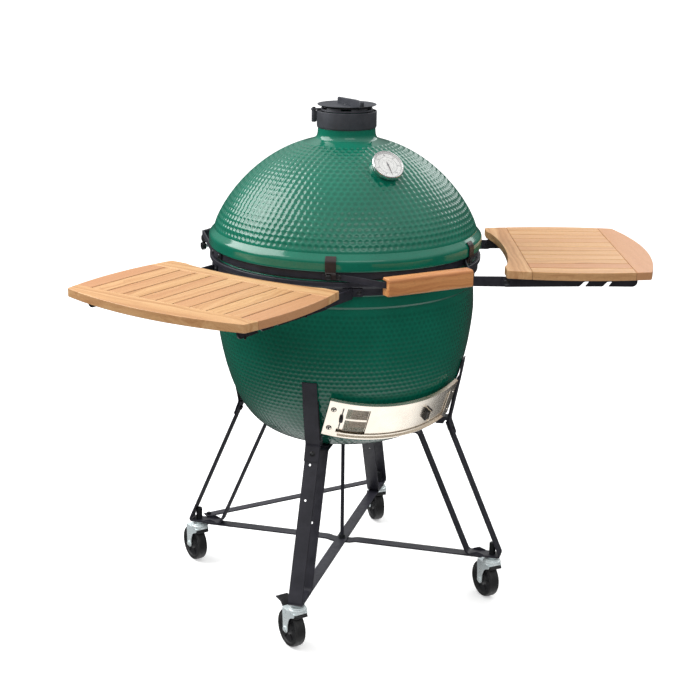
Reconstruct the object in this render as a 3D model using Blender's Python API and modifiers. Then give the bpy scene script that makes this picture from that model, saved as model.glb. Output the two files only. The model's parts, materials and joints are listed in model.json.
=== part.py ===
"""Kamado ceramic grill on a four-leg wheeled stand, with two fold-down side shelves.

Metres, +Z up. The grill's front (handle, thermometer, draft door) faces -Y, and its
right side is +X. The pieces are modelled about the vertical axis of the ceramic body,
and at the end the whole grill is moved so that the origin is on the floor under the
middle of its footprint. An azimuth is in degrees from the front, positive towards +X.
"""
import math

import bmesh
import bpy
from mathutils import Matrix, Vector

# ------------------------------------------------------------------ ceramic body
SEGMENTS = 48              # facets round the ceramic, the bands and the gaskets
INNER_SEGMENTS = 32        # facets round everything inside the base
SMALL_SEGMENTS = 24        # facets round the fittings
GAP = 0.0003               # left between two pieces that touch
WALL = 0.027               # ceramic wall

BASE_BOTTOM = 0.4662       # underside of the base above the floor
FOOT_RADIUS = 0.1850       # flat foot under the base
BASE_POLE = 0.4538         # height at which the base's curve would close
BASE_FLOOR = 0.4925        # inside floor of the base
FLOOR_RADIUS = 0.1100      # flat part of that floor
BASE_BELLY = 0.8006        # height of the widest point
BASE_RADIUS = 0.3347       # radius there
BASE_RIM = 0.9330          # top edge of the base
BEAD_BOTTOM = 0.866        # smooth bead under the lower band
BEAD_RADIUS = 0.335
RIM_RADIUS = 0.3380        # ceramic rim inside the two bands
RIM_INNER = 0.3105
BASE_SQUARENESS = (5.0, 1.5)   # of the bowl's profile: how full it is at the side and at the foot

LID_RIM = 0.9365           # lower edge of the lid
FLANGE_RADIUS = 0.350      # lid flange, the widest part of the ceramic
FLANGE_BOTTOM = 0.9554
FLANGE_TOP = 0.9824
DOME_BOTTOM = 0.9971
DOME_RADIUS = 0.3365
DOME_RISE = 0.2309
DOME_SQUARENESS = (2.2, 1.3)
DOME_TOP_RADIUS = 0.0970   # where the dome meets the foot of the neck
NECK_FOOT = (0.0785, 1.2228)
NECK_RADIUS = 0.0733       # chimney neck where it leaves the dome
NECK_TOP_RADIUS = 0.0695
NECK_LOWER = 1.2320
NECK_TOP = 1.2855
CHIMNEY_BORE = 0.0530

# ------------------------------------------------------------------ inside the base
FIRE_BOX_RADIUS = 0.285
FIRE_BOX_TOP = 0.765
FIRE_BOX_BOTTOM = 0.5040
FIRE_BOX_THROAT = 0.150    # radius of the air way under the grate
FIRE_BOX_WALL = 0.023
GRATE_SEAT = 0.5700
GRATE_SEAT_RADIUS = 0.205
GRATE_RADIUS = 0.198
GRATE_THICKNESS = 0.008
FIRE_RING_TOP = 0.9150
FIRE_RING_TOP_RADIUS = 0.298
GRID_RADIUS = 0.296
GRID_THICKNESS = 0.006

# ------------------------------------------------------------------ bands and seals
BAND_INNER = RIM_RADIUS + GAP
BAND_OUTER = 0.3423
BAND_LIP = 0.3485
LOWER_BAND = (0.8975, 0.9310)
LOWER_BAND_LIP = 0.9195
UPPER_BAND = (0.9370, 0.9550)
BASE_GASKET = (0.9333, 0.9347)
LID_GASKET = (0.9350, 0.9362)
GASKET_RADII = (0.3125, 0.3365)

# ------------------------------------------------------------------ rear hinge
HINGE_Y = 0.402
HINGE_Z = 0.905
HINGE_PIN_RADIUS = 0.006
HINGE_HALF_WIDTH = 0.215
YOKE_AZIMUTH = 94.0        # where the yoke's arms are bolted to the upper band
SPRING_Z = 0.884
SPRING_RADIUS = 0.009
HINGE_EAR_X = 0.180
HINGE_EYE = 0.0064         # radius of the eyes round the pin
HINGE_PLATE = 0.004        # thickness of the hinge's sheet metal
YOKE_BAR = (0.9200, 0.9360)
BRACKET_BACK = (0.8760, 0.9160)
PIN_KNOB = 0.0095
ROD_RADIUS = 0.0050

# ------------------------------------------------------------------ handle
CLIP_AZIMUTH = 33.9
GRIP_HALF_LENGTH = 0.1150
GRIP_FRONT = -0.430
GRIP_BACK = -0.398
GRIP_BOTTOM = 0.9175
GRIP_TOP = 0.9605
BAR_Y = -0.4125
BAR_BOTTOM = 0.9365
BAR_TOP = 0.9515
BAR_THICKNESS = 0.003
GRIP_SLOT_END = -0.4150    # bottom of the slot in the grip's back that holds the bar
GRIP_CORNER = 0.006
CLIP_THICKNESS = 0.0024
CLIP_WIDTH = 0.026

# ------------------------------------------------------------------ chimney cap
COLLAR_RADIUS = 0.0756
COLLAR_BOTTOM = 1.2495
COLLAR_TOP = 1.2916
COLLAR_BORE = 0.0702
VENT_PLATE_BOTTOM = 1.2921
VENT_WALL_RADIUS = 0.0652
VENT_WALL_TOP = 1.3055
VENT_WINDOWS = 6
VENT_DISC_RADIUS = 0.0747
VENT_PIVOT_AZIMUTH = -116.0
VENT_PIVOT_REACH = 0.0830

# ------------------------------------------------------------------ thermometer
GAUGE_CENTRE = Vector((0.0, -0.215, 1.1876))
GAUGE_TILT = 45.0          # of the dial's axis from the vertical, towards the front
GAUGE_RADIUS = 0.0405
GAUGE_DEPTH = 0.012
BOSS_FACE = -0.018         # face of the ceramic boss behind the front of the dial
POINTER_REST = 272.5       # turn of the pointer on the dial, cold

# ------------------------------------------------------------------ draft door
DOOR_TILT = 25.6           # lean of the door's axis, so that it follows the ceramic
DOOR_MIDDLE = Vector((0.0, -0.2895, 0.5625))
DOOR_RADIUS = 0.3275       # radius of the seat that the frame lies on
DOOR_SEGMENTS = 96
DOOR_HALF_WIDTH = 0.178
DOOR_HALF_HEIGHT = 0.0560
FRAME_DEPTH = (0.0003, 0.0103)
WINDOW_HALF_WIDTH = 0.151
WINDOW_HALF_HEIGHT = 0.040
TRACK_HALF_WIDTH = 0.166
TRACK_HALF_HEIGHT = 0.0470
SLIDE_HALF_HEIGHT = 0.0460
SCREEN_TRACK = (0.0018, 0.0038)
SCREEN_PLATE = (0.0023, 0.0033)
SLIDER_TRACK = (0.0058, 0.0078)
SLIDER_PLATE = (0.0063, 0.0073)
SCREEN_SPAN = (-0.160, 0.076)
SCREEN_KNOB_X = -0.1385
SLIDER_SPAN = (-0.084, 0.150)
DRAFT_HOLE = (-0.120, 0.060)
DRAFT_HALF_HEIGHT = 0.034

# ------------------------------------------------------------------ stand
STAND_TURN = 1.6           # the stand is turned a little under the ceramic
LEG_AZIMUTHS = {"front_left": STAND_TURN - 45, "front_right": STAND_TURN + 45,
                "rear_right": STAND_TURN + 135, "rear_left": STAND_TURN - 135}
LEG_WIDTH = 0.036
STRIP = 0.005              # thickness of the legs' flat bar
FOOT_Z = 0.1295            # mid-height of the foot plates
LEG_TOP = (0.2830, 0.4955)
LEG_FOOT_OUTER = 0.4400
LEG_FOOT_INNER = 0.3500
LEG_INNER_TOP = (0.208, 0.4587)
LEG_TAB_REACH = 0.165
BAR_WIDTH = 0.030
CROSS_BAR = 0.004
POST_RADIUS = 0.005
CLAMP_WIDTH = 0.038
BRACE_Y = 0.300
BRACE_HALF_LENGTH = 0.272
BAR_REACH = 0.390

# ------------------------------------------------------------------ casters
CASTER_REACH = 0.416       # from the grill's axis to each swivel axis
CASTER_HEADINGS = {"front_left": 94.0, "front_right": 89.0, "rear_right": 80.0, "rear_left": 95.0}
CASTER_TRAIL = 0.028
WHEEL_RADIUS = 0.050
WHEEL_WIDTH = 0.028
FORK_TOP = 0.1263
PEDAL_PIVOT = (0.0447, 0.1050)
WHEEL_BORE = 0.0055
AXLE_RADIUS = 0.0045
FORK_SHEET = 0.0030        # thickness of the fork's sheet metal
FORK_CROWN = 0.1065        # top of the fork's crown plate
STEM_RADIUS = 0.0050
SOCKET_RADIUS = 0.0085
SOCKET_TOP = 0.1650

# ------------------------------------------------------------------ shelves
SHELF_AZIMUTH = 62.8
SHELF_TOP = 0.9407
SHELF_THICKNESS = 0.0200
SHELF_INNER = 0.388        # at the inner corners, from the grill's axis
SHELF_OUTER = 0.740        # at the outer corners
SHELF_INNER_HALF = 0.252
SHELF_OUTER_HALF = 0.257
SHELF_INNER_SAG = 0.024
SHELF_OUTER_SAG = 0.038
SHELF_SIDE_SAG = 0.018
SLOTS = 10
SLOT_PITCH = 0.0484
SLOT_WIDTH = 0.0035
SLOT_INNER = 0.449
SLOT_OUTER = 0.701
ARM_OFFSET = 0.2160        # of the arms to either side of the shelf's middle
ARM_THICKNESS = 0.004
PIVOT_REACH = 0.392
PIVOT_Z = 0.903
PIVOT_PIN_RADIUS = 0.004


# ==================================================================== helpers
def clear_scene():
    """Take every object out of the scene."""
    for item in list(bpy.data.objects):
        bpy.data.objects.remove(item, do_unlink=True)


def new_collection(name):
    """Make a collection in the scene."""
    made = bpy.data.collections.new(name)
    bpy.context.scene.collection.children.link(made)
    return made


def new_material(name, colour, roughness, metallic=0.0):
    """A plain Principled material."""
    made = bpy.data.materials.new(name)
    made.use_nodes = True
    shader = made.node_tree.nodes["Principled BSDF"]
    shader.inputs["Base Color"].default_value = (*colour, 1.0)
    shader.inputs["Roughness"].default_value = roughness
    shader.inputs["Metallic"].default_value = metallic
    return made


def add_object(name, mesh, material, matrix=None):
    """Put a mesh in the grill's collection under its own name."""
    mesh.name = name
    mesh.materials.clear()
    mesh.materials.append(material)
    made = bpy.data.objects.new(name, mesh)
    PARTS.objects.link(made)
    if matrix is not None:
        made.matrix_world = matrix
    return made


def as_cutter(item):
    """Move an object to the cutters, where it only shapes other pieces."""
    PARTS.objects.unlink(item)
    CUTTERS.objects.link(item)
    item.hide_render = True
    item.display_type = "WIRE"
    return item


def combine(target, tool, operation="DIFFERENCE"):
    """Cut a piece with another object, or join or trim it."""
    if tool.name in PARTS.objects:
        as_cutter(tool)
    change = target.modifiers.new(operation.title(), "BOOLEAN")
    change.operation = operation
    change.solver = "EXACT"
    change.object = tool


def mesh_from(build):
    """Fill a new mesh with what a bmesh function makes."""
    work = bmesh.new()
    build(work)
    bmesh.ops.recalc_face_normals(work, faces=work.faces)
    mesh = bpy.data.meshes.new("work")
    work.to_mesh(mesh)
    work.free()
    return mesh


def box(name, low, high, material, matrix=None):
    """A block between two opposite corners."""
    low, high = Vector(low), Vector(high)
    size = high - low
    placed = Matrix.Translation((low + high) / 2) @ Matrix.Diagonal((*size, 1.0))
    mesh = mesh_from(lambda work: bmesh.ops.create_cube(work, size=1.0, matrix=placed))
    return add_object(name, mesh, material, matrix)


def cylinder(name, radius, low, high, material, matrix=None, segments=SMALL_SEGMENTS, tip=None):
    """A cylinder or cone along local Z, from height low to height high."""
    placed = Matrix.Translation((0, 0, (low + high) / 2))
    tip_radius = radius if tip is None else tip
    mesh = mesh_from(lambda work: bmesh.ops.create_cone(
        work, cap_ends=True, segments=segments, radius1=radius, radius2=tip_radius,
        depth=high - low, matrix=placed))
    return add_object(name, mesh, material, matrix)


def turned(name, profile, material, steps=SEGMENTS, matrix=None, closed=True):
    """Turn a profile of (radius, height) points, outer side first, about local Z."""
    mesh = bpy.data.meshes.new(name)
    edges = [(i, i + 1) for i in range(len(profile) - 1)]
    if closed:
        edges.append((len(profile) - 1, 0))
    mesh.from_pydata([(radius, 0.0, height) for radius, height in profile], edges, [])
    made = add_object(name, mesh, material, matrix)
    screw = made.modifiers.new("Turn", "SCREW")
    screw.angle = math.tau
    screw.steps = steps
    screw.render_steps = steps
    screw.use_merge_vertices = True
    screw.merge_threshold = 0.0001
    screw.use_normal_calculate = False
    return made


def outline(name, loops, thickness, material, matrix=None):
    """A flat shape: the first loop is its edge and the others are its holes."""
    curve = bpy.data.curves.new(name, "CURVE")
    curve.dimensions = "2D"
    curve.fill_mode = "BOTH"
    curve.extrude = thickness / 2
    for loop in loops:
        spline = curve.splines.new("POLY")
        spline.points.add(len(loop) - 1)
        for point, (x, y) in zip(spline.points, loop):
            point.co = (x, y, 0.0, 1.0)
        spline.use_cyclic_u = True
    holder = bpy.data.objects.new(name + "_curve", curve)
    bpy.context.scene.collection.objects.link(holder)
    graph = bpy.context.evaluated_depsgraph_get()
    mesh = bpy.data.meshes.new_from_object(holder.evaluated_get(graph))
    bpy.data.objects.remove(holder, do_unlink=True)
    work = bmesh.new()
    work.from_mesh(mesh)
    bmesh.ops.remove_doubles(work, verts=work.verts, dist=0.00001)
    bmesh.ops.recalc_face_normals(work, faces=work.faces)
    work.to_mesh(mesh)
    work.free()
    return add_object(name, mesh, material, matrix)


def arc(centre, radius, start, end, steps):
    """Points along an arc, with the angles in degrees."""
    turn = [math.radians(start + (end - start) * i / steps) for i in range(steps + 1)]
    return [(centre[0] + radius * math.cos(a), centre[1] + radius * math.sin(a)) for a in turn]


def bowed(start, end, sag, steps):
    """Points from start up to, not including, end, bowed to the right by sag."""
    (x0, y0), (x1, y1) = start, end
    length = math.hypot(x1 - x0, y1 - y0)
    side = ((y1 - y0) / length, -(x1 - x0) / length)
    points = []
    for i in range(steps):
        t = i / steps
        bow = 4 * sag * t * (1 - t)
        points.append((x0 + (x1 - x0) * t + side[0] * bow, y0 + (y1 - y0) * t + side[1] * bow))
    return points


def strip_loop(path, thickness):
    """The outline of a bent flat bar seen from its edge, about its middle line."""
    def unit(a, b):
        length = math.hypot(b[0] - a[0], b[1] - a[1])
        return (b[0] - a[0]) / length, (b[1] - a[1]) / length

    half = thickness / 2
    left, right = [], []
    for i, (x, y) in enumerate(path):
        before = unit(path[i - 1], path[i]) if i > 0 else unit(path[0], path[1])
        after = unit(path[i], path[i + 1]) if i < len(path) - 1 else before
        normal = (-(before[1] + after[1]), before[0] + after[0])
        size = math.hypot(*normal)
        normal = (normal[0] / size, normal[1] / size)
        mitre = half / (normal[1] * before[0] - normal[0] * before[1])
        left.append((x + normal[0] * mitre, y + normal[1] * mitre))
        right.append((x - normal[0] * mitre, y - normal[1] * mitre))
    return left + right[::-1]


def radial(azimuth):
    """The horizontal direction at an azimuth."""
    turn = math.radians(azimuth)
    return Vector((math.sin(turn), -math.cos(turn), 0.0))


def upright_plane(azimuth, offset=0.0):
    """Frame with X outwards at an azimuth, Y up, and Z sideways, offset along Z."""
    out, up = radial(azimuth), Vector((0, 0, 1))
    side = out.cross(up)
    frame = Matrix((out, up, side)).transposed().to_4x4()
    frame.translation = side * offset
    return frame


def hang_on(name, place, children, matrix=None):
    """Parent pieces to an empty that lies on their joint's axis."""
    pivot = bpy.data.objects.new(name, None)
    PARTS.objects.link(pivot)
    pivot.matrix_world = Matrix.Translation(place) if matrix is None else matrix
    bpy.context.view_layer.update()
    for child in children:
        child.parent = pivot
        child.matrix_parent_inverse = pivot.matrix_world.inverted()


# ==================================================================== ceramic body
def swell(radius, rise, narrow, tall, turn):
    """A point of a rounded profile: full radius at turn 0, full rise at a quarter turn."""
    return radius * math.cos(turn) ** (2 / narrow), rise * math.sin(turn) ** (2 / tall)


def turn_at(radius, narrow, wanted):
    """The turn at which that profile has the wanted radius."""
    return math.acos((wanted / radius) ** (narrow / 2))


def base_curve(radius, pole, foot_radius, steps):
    """The base's bowl from its belly down to the edge of its foot."""
    narrow, tall = BASE_SQUARENESS
    last = turn_at(radius, narrow, foot_radius)
    points = []
    for i in range(steps + 1):
        r, drop = swell(radius, BASE_BELLY - pole, narrow, tall, last * i / steps)
        points.append((r, BASE_BELLY - drop))
    return points


def dome_curve(radius, rise, top_radius, steps):
    """The lid's dome from near the chimney down to its lower edge."""
    narrow, tall = DOME_SQUARENESS
    last = turn_at(radius, narrow, top_radius)
    points = []
    for i in range(steps, -1, -1):
        r, height = swell(radius, rise, narrow, tall, last * i / steps)
        points.append((r, DOME_BOTTOM + height))
    return points


def door_frame_matrix():
    """Frame on the draft door's axis: local Z leans forward, local -Y points out."""
    lean = Matrix.Rotation(math.radians(DOOR_TILT), 4, "X")
    middle = Matrix.Translation(DOOR_MIDDLE) @ lean
    return middle @ Matrix.Translation((0, DOOR_RADIUS, 0))


def door_piece(name, depth, span, half_height, material):
    """A piece of a ring about the draft door's axis, between two sideways limits."""
    inner, outer = DOOR_RADIUS + depth[0], DOOR_RADIUS + depth[1]
    ring = [(outer, half_height), (outer, -half_height), (inner, -half_height), (inner, half_height)]
    piece = turned(name, ring, material, DOOR_SEGMENTS, DOOR_FRAME)
    limit = box(name + "_limit", (span[0], -0.5, -0.2), (span[1], -0.1, 0.2), material, DOOR_FRAME)
    combine(piece, limit, "INTERSECT")
    return piece


def base_shell(glaze):
    """Ceramic base: a bowl with the draft opening and a flat seat for its door."""
    floor = [(0.0, BASE_FLOOR), (FLOOR_RADIUS, BASE_FLOOR)]
    inside = base_curve(BASE_RADIUS - WALL, BASE_FLOOR - 0.002, FLOOR_RADIUS, 7)[-2::-1]
    rim = [(RIM_INNER, BASE_RIM), (RIM_RADIUS, BASE_RIM), (RIM_RADIUS, LOWER_BAND[0] - 0.001)]
    bead = [(BEAD_RADIUS, LOWER_BAND[0] - 0.003), (BEAD_RADIUS, BEAD_BOTTOM),
            (BEAD_RADIUS - 0.004, BEAD_BOTTOM - 0.004)]
    bowl = base_curve(BASE_RADIUS, BASE_POLE, FOOT_RADIUS, 11)[:-1]
    foot = [(FOOT_RADIUS, BASE_BOTTOM), (0.0, BASE_BOTTOM)]
    shell = turned("base_shell", floor + inside + rim + bead + bowl + foot, glaze, closed=False)
    seat = door_piece("door_seat", (0.0, 0.08), (-0.1790, 0.1790), DOOR_HALF_HEIGHT + 0.001, glaze)
    combine(shell, seat)
    hole = box("draft_hole", (DRAFT_HOLE[0], -DOOR_RADIUS - 0.02, -DRAFT_HALF_HEIGHT),
               (DRAFT_HOLE[1], -DOOR_RADIUS + 0.09, DRAFT_HALF_HEIGHT), glaze, DOOR_FRAME)
    combine(shell, hole)
    return shell


def fire_parts(clay, iron, steel):
    """Fire box, its grate and the fire ring, and the cooking grid, which is returned."""
    inner = FIRE_BOX_RADIUS - FIRE_BOX_WALL
    bowl = [(FIRE_BOX_RADIUS, FIRE_BOX_TOP), (FIRE_BOX_RADIUS, 0.700), (inner, 0.620), (0.224, 0.5430),
            (0.163, FIRE_BOX_BOTTOM), (FIRE_BOX_THROAT, FIRE_BOX_BOTTOM), (FIRE_BOX_THROAT, GRATE_SEAT),
            (GRATE_SEAT_RADIUS, GRATE_SEAT), (0.240, 0.628), (inner, 0.700), (inner, FIRE_BOX_TOP)]
    fire_box = turned("fire_box", bowl, clay, INNER_SEGMENTS)
    notch = box("fire_box_notch", (-0.100, -0.30, 0.480), (0.060, -0.10, 0.560), clay)
    combine(fire_box, notch)
    ring_bottom = FIRE_BOX_TOP + GAP
    ring = [(FIRE_RING_TOP_RADIUS, FIRE_RING_TOP), (FIRE_BOX_RADIUS + 0.001, ring_bottom),
            (inner + 0.001, ring_bottom), (FIRE_RING_TOP_RADIUS - 0.022, FIRE_RING_TOP)]
    turned("fire_ring", ring, clay, INNER_SEGMENTS)
    grate_middle = Matrix.Translation((0, 0, GRATE_SEAT + 0.0005 + GRATE_THICKNESS / 2))
    grate = slotted_disc(GRATE_RADIUS, rim=0.030, slot=0.014, bar=0.016)
    outline("fire_grate", grate, GRATE_THICKNESS, iron, grate_middle)
    grid_middle = Matrix.Translation((0, 0, FIRE_RING_TOP + 0.0004 + GRID_THICKNESS / 2))
    grid = slotted_disc(GRID_RADIUS, rim=0.008, slot=0.0150, bar=0.0070)
    return outline("cooking_grid", grid, GRID_THICKNESS, steel, grid_middle)


def slotted_disc(radius, rim, slot, bar):
    """A round plate whose inside is a row of parallel slots with a bar across the middle."""
    loops = [arc((0, 0), radius, 0, 360 * 35 / 36, 35)]
    inner = radius - rim
    pitch = slot + bar
    count = int((inner - slot / 2) / pitch)
    for side in (-1, 1):
        for i in range(-count, count + 1):
            low, high = i * pitch - slot / 2, i * pitch + slot / 2
            reach = max(abs(low), abs(high))
            end = math.sqrt(max(inner ** 2 - reach ** 2, 0.0))
            if end > 2 * bar:
                loops.append([(low, side * bar), (high, side * bar), (high, side * end), (low, side * end)])
    return loops


def dome_lid(glaze):
    """Ceramic lid: flange, dome, chimney neck and the boss for the thermometer."""
    chimney = [(NECK_TOP_RADIUS, NECK_TOP), (NECK_TOP_RADIUS, COLLAR_BOTTOM + 0.002),
               (NECK_RADIUS, NECK_LOWER), NECK_FOOT]
    rim = [(FLANGE_RADIUS, FLANGE_TOP), (FLANGE_RADIUS, FLANGE_BOTTOM), (RIM_RADIUS, FLANGE_BOTTOM),
           (RIM_RADIUS, LID_RIM), (RIM_INNER, LID_RIM)]
    inside = dome_curve(DOME_RADIUS - WALL, DOME_RISE - 0.024, CHIMNEY_BORE, 7)[::-1]
    profile = chimney + dome_curve(DOME_RADIUS, DOME_RISE, DOME_TOP_RADIUS, 10) + rim + inside
    lid = turned("dome_lid", profile + [(CHIMNEY_BORE, NECK_TOP)], glaze)
    boss = cylinder("thermometer_boss", 0.036, -0.040, BOSS_FACE, glaze, GAUGE_FRAME, 32)
    combine(lid, boss, "UNION")
    hole = cylinder("thermometer_hole", 0.0058, -0.100, 0.010, glaze, GAUGE_FRAME, 16)
    combine(lid, hole)
    return lid


def ring_piece(name, inner, outer, heights, material):
    """A plain ring between two heights."""
    low, high = heights
    return turned(name, [(outer, high), (outer, low), (inner, low), (inner, high)], material)


def bands_and_seals(steel, felt):
    """The two clamping bands and the two felt seals; the lid's band and seal are returned."""
    low, high = LOWER_BAND
    turned("lower_band", [(BAND_LIP, high), (BAND_LIP, LOWER_BAND_LIP), (BAND_OUTER, LOWER_BAND_LIP - 0.002),
                          (BAND_OUTER, low), (BAND_INNER, low), (BAND_INNER, high)], steel)
    upper = ring_piece("upper_band", BAND_INNER, BAND_OUTER, UPPER_BAND, steel)
    ring_piece("base_gasket", *GASKET_RADII, BASE_GASKET, felt)
    lid_seal = ring_piece("lid_gasket", *GASKET_RADII, LID_GASKET, felt)
    return upper, lid_seal


# ==================================================================== rear hinge
def side_profile(name, loops, thickness, x, material):
    """A plate standing fore and aft at a given x, drawn with Y along local X and Z along local Y."""
    frame = Matrix(((0, 0, 1, x), (1, 0, 0, 0), (0, 1, 0, 0), (0, 0, 0, 1)))
    return outline(name, loops, thickness, material, frame)


def hinge_parts(steel, spring_steel):
    """Bracket on the base, pin and lifting spring, and the lid's yoke, which is returned."""
    along_x = Matrix.Rotation(math.radians(90), 4, "Y")
    hug = [radial(YOKE_AZIMUTH + turn) * (BAND_OUTER + 0.0031) for turn in (-3, 3, 9, 15)]
    arm_end = Vector((HINGE_HALF_WIDTH, HINGE_Y, HINGE_Z))
    yoke_low, yoke_high = YOKE_BAR
    yoke = box("lid_hinge_yoke", (-0.2450, 0.3640, yoke_low), (0.2450, 0.3690, yoke_high), steel)
    for side in (-1, 1):
        path = [(side * point.x, point.y) for point in hug]
        path += [(side * 0.2425, 0.3665), (side * arm_end.x, 0.3870)]
        arm = outline("yoke_arm", [strip_loop(path, HINGE_PLATE)], yoke_high - yoke_low, steel,
                      Matrix.Translation((0, 0, sum(UPPER_BAND) / 2)))
        shear_down(arm, hug[-1].y, 0.3665, 0.018)
        combine(yoke, arm, "UNION")
        eye = arc((HINGE_Y, HINGE_Z), PIN_KNOB, -120, 100, 8) + [(0.384, yoke_high), (0.384, yoke_low)]
        ear = side_profile("yoke_ear", [eye, arc((HINGE_Y, HINGE_Z), HINGE_EYE, 0, 345, 23)], HINGE_PLATE,
                           side * arm_end.x, steel)
        combine(yoke, ear, "UNION")
    low, high = BRACKET_BACK
    plate = box("base_hinge_bracket", (-HINGE_EAR_X - 0.002, 0.3500, low),
                (HINGE_EAR_X + 0.002, 0.3500 + HINGE_PLATE, high), steel)
    for side in (-1, 1):
        shape = [(0.3520, low)] + arc((HINGE_Y, SPRING_Z), 0.013, -90, 0, 4) + \
            arc((HINGE_Y, HINGE_Z), 0.013, 0, 90, 4) + [(0.3520, high)]
        holes = [arc((HINGE_Y, HINGE_Z), HINGE_EYE, 0, 345, 23),
                 arc((HINGE_Y, SPRING_Z), ROD_RADIUS + 0.0004, 0, 345, 23)]
        ear = side_profile("bracket_ear", [shape] + holes, HINGE_PLATE, side * HINGE_EAR_X, steel)
        combine(plate, ear, "UNION")
    pin_place = Matrix.Translation((0, HINGE_Y, HINGE_Z)) @ along_x
    rod_place = Matrix.Translation((0, HINGE_Y, SPRING_Z)) @ along_x
    half = HINGE_HALF_WIDTH + 0.0025
    knob = [(0.0, half + 0.012), (PIN_KNOB, half + 0.012), (PIN_KNOB, half), (HINGE_PIN_RADIUS, half)]
    both_ends("hinge_pin", knob, steel, pin_place)
    nut = HINGE_EAR_X + 0.0425
    end = [(0.0, nut + 0.012), (SPRING_RADIUS, nut + 0.012), (SPRING_RADIUS, nut), (ROD_RADIUS, nut)]
    coil = [(ROD_RADIUS, HINGE_EAR_X - 0.004), (SPRING_RADIUS, HINGE_EAR_X - 0.004)]
    both_ends("hinge_spring", end + coil, spring_steel, rod_place)
    return yoke


def both_ends(name, profile, material, place):
    """Turn a rod from the profile of its one half, from the tip to near the middle."""
    mirrored = [(radius, -height) for radius, height in profile[::-1]]
    return turned(name, profile + mirrored, material, 16, place, closed=False)


def shear_down(item, start, end, drop):
    """Lower the vertices of a piece in proportion to how far back they lie."""
    for vertex in item.data.vertices:
        share = min(max((vertex.co.y - start) / (end - start), 0.0), 1.15)
        vertex.co.z -= drop * share


# ==================================================================== handle
def handle_parts(steel, wood):
    """Handle bar bolted to the upper band, its wooden grip and the two flange clips."""
    turn = math.radians(CLIP_AZIMUTH)
    reach = BAND_OUTER + 0.0005 + BAR_THICKNESS / 2
    centre = (reach * math.sin(turn), -reach * math.cos(turn))
    forward = (-math.cos(turn), -math.sin(turn))
    half = [(0.0, BAR_Y), (GRIP_HALF_LENGTH + 0.0025, BAR_Y)]
    half.append((centre[0] + 0.020 * forward[0], centre[1] + 0.020 * forward[1]))
    half.append((centre[0] - 0.020 * forward[0], centre[1] - 0.020 * forward[1]))
    path = [(-x, y) for x, y in half[:0:-1]] + half[1:]
    height = BAR_TOP - BAR_BOTTOM
    bar = outline("handle_bar", [strip_loop(path, BAR_THICKNESS)], height, steel,
                  Matrix.Translation((0, 0, (BAR_TOP + BAR_BOTTOM) / 2)))
    slot_low, slot_high = BAR_BOTTOM - 2 * GAP, BAR_TOP + 2 * GAP
    middle = GRIP_FRONT + GRIP_CORNER
    front = arc((middle, GRIP_TOP - GRIP_CORNER), GRIP_CORNER, 90, 180, 3) + \
        arc((middle, GRIP_BOTTOM + GRIP_CORNER), GRIP_CORNER, 180, 270, 3)
    section = front + [(GRIP_BACK, GRIP_BOTTOM), (GRIP_BACK, slot_low), (GRIP_SLOT_END, slot_low),
                       (GRIP_SLOT_END, slot_high), (GRIP_BACK, slot_high), (GRIP_BACK, GRIP_TOP)]
    grip = side_profile("handle_grip", [section], 2 * GRIP_HALF_LENGTH, 0.0, wood)
    clips = []
    for word, azimuth in (("left", -CLIP_AZIMUTH), ("right", CLIP_AZIMUTH)):
        hook = [(0.3476, 0.9385), (0.3476, 0.9505), (0.3524, 0.9545), (0.3524, 0.9835), (0.3445, 0.9925)]
        clips.append(outline("handle_clip_" + word, [strip_loop(hook, CLIP_THICKNESS)], CLIP_WIDTH, steel,
                             upright_plane(azimuth)))
    return [bar, grip] + clips


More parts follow.
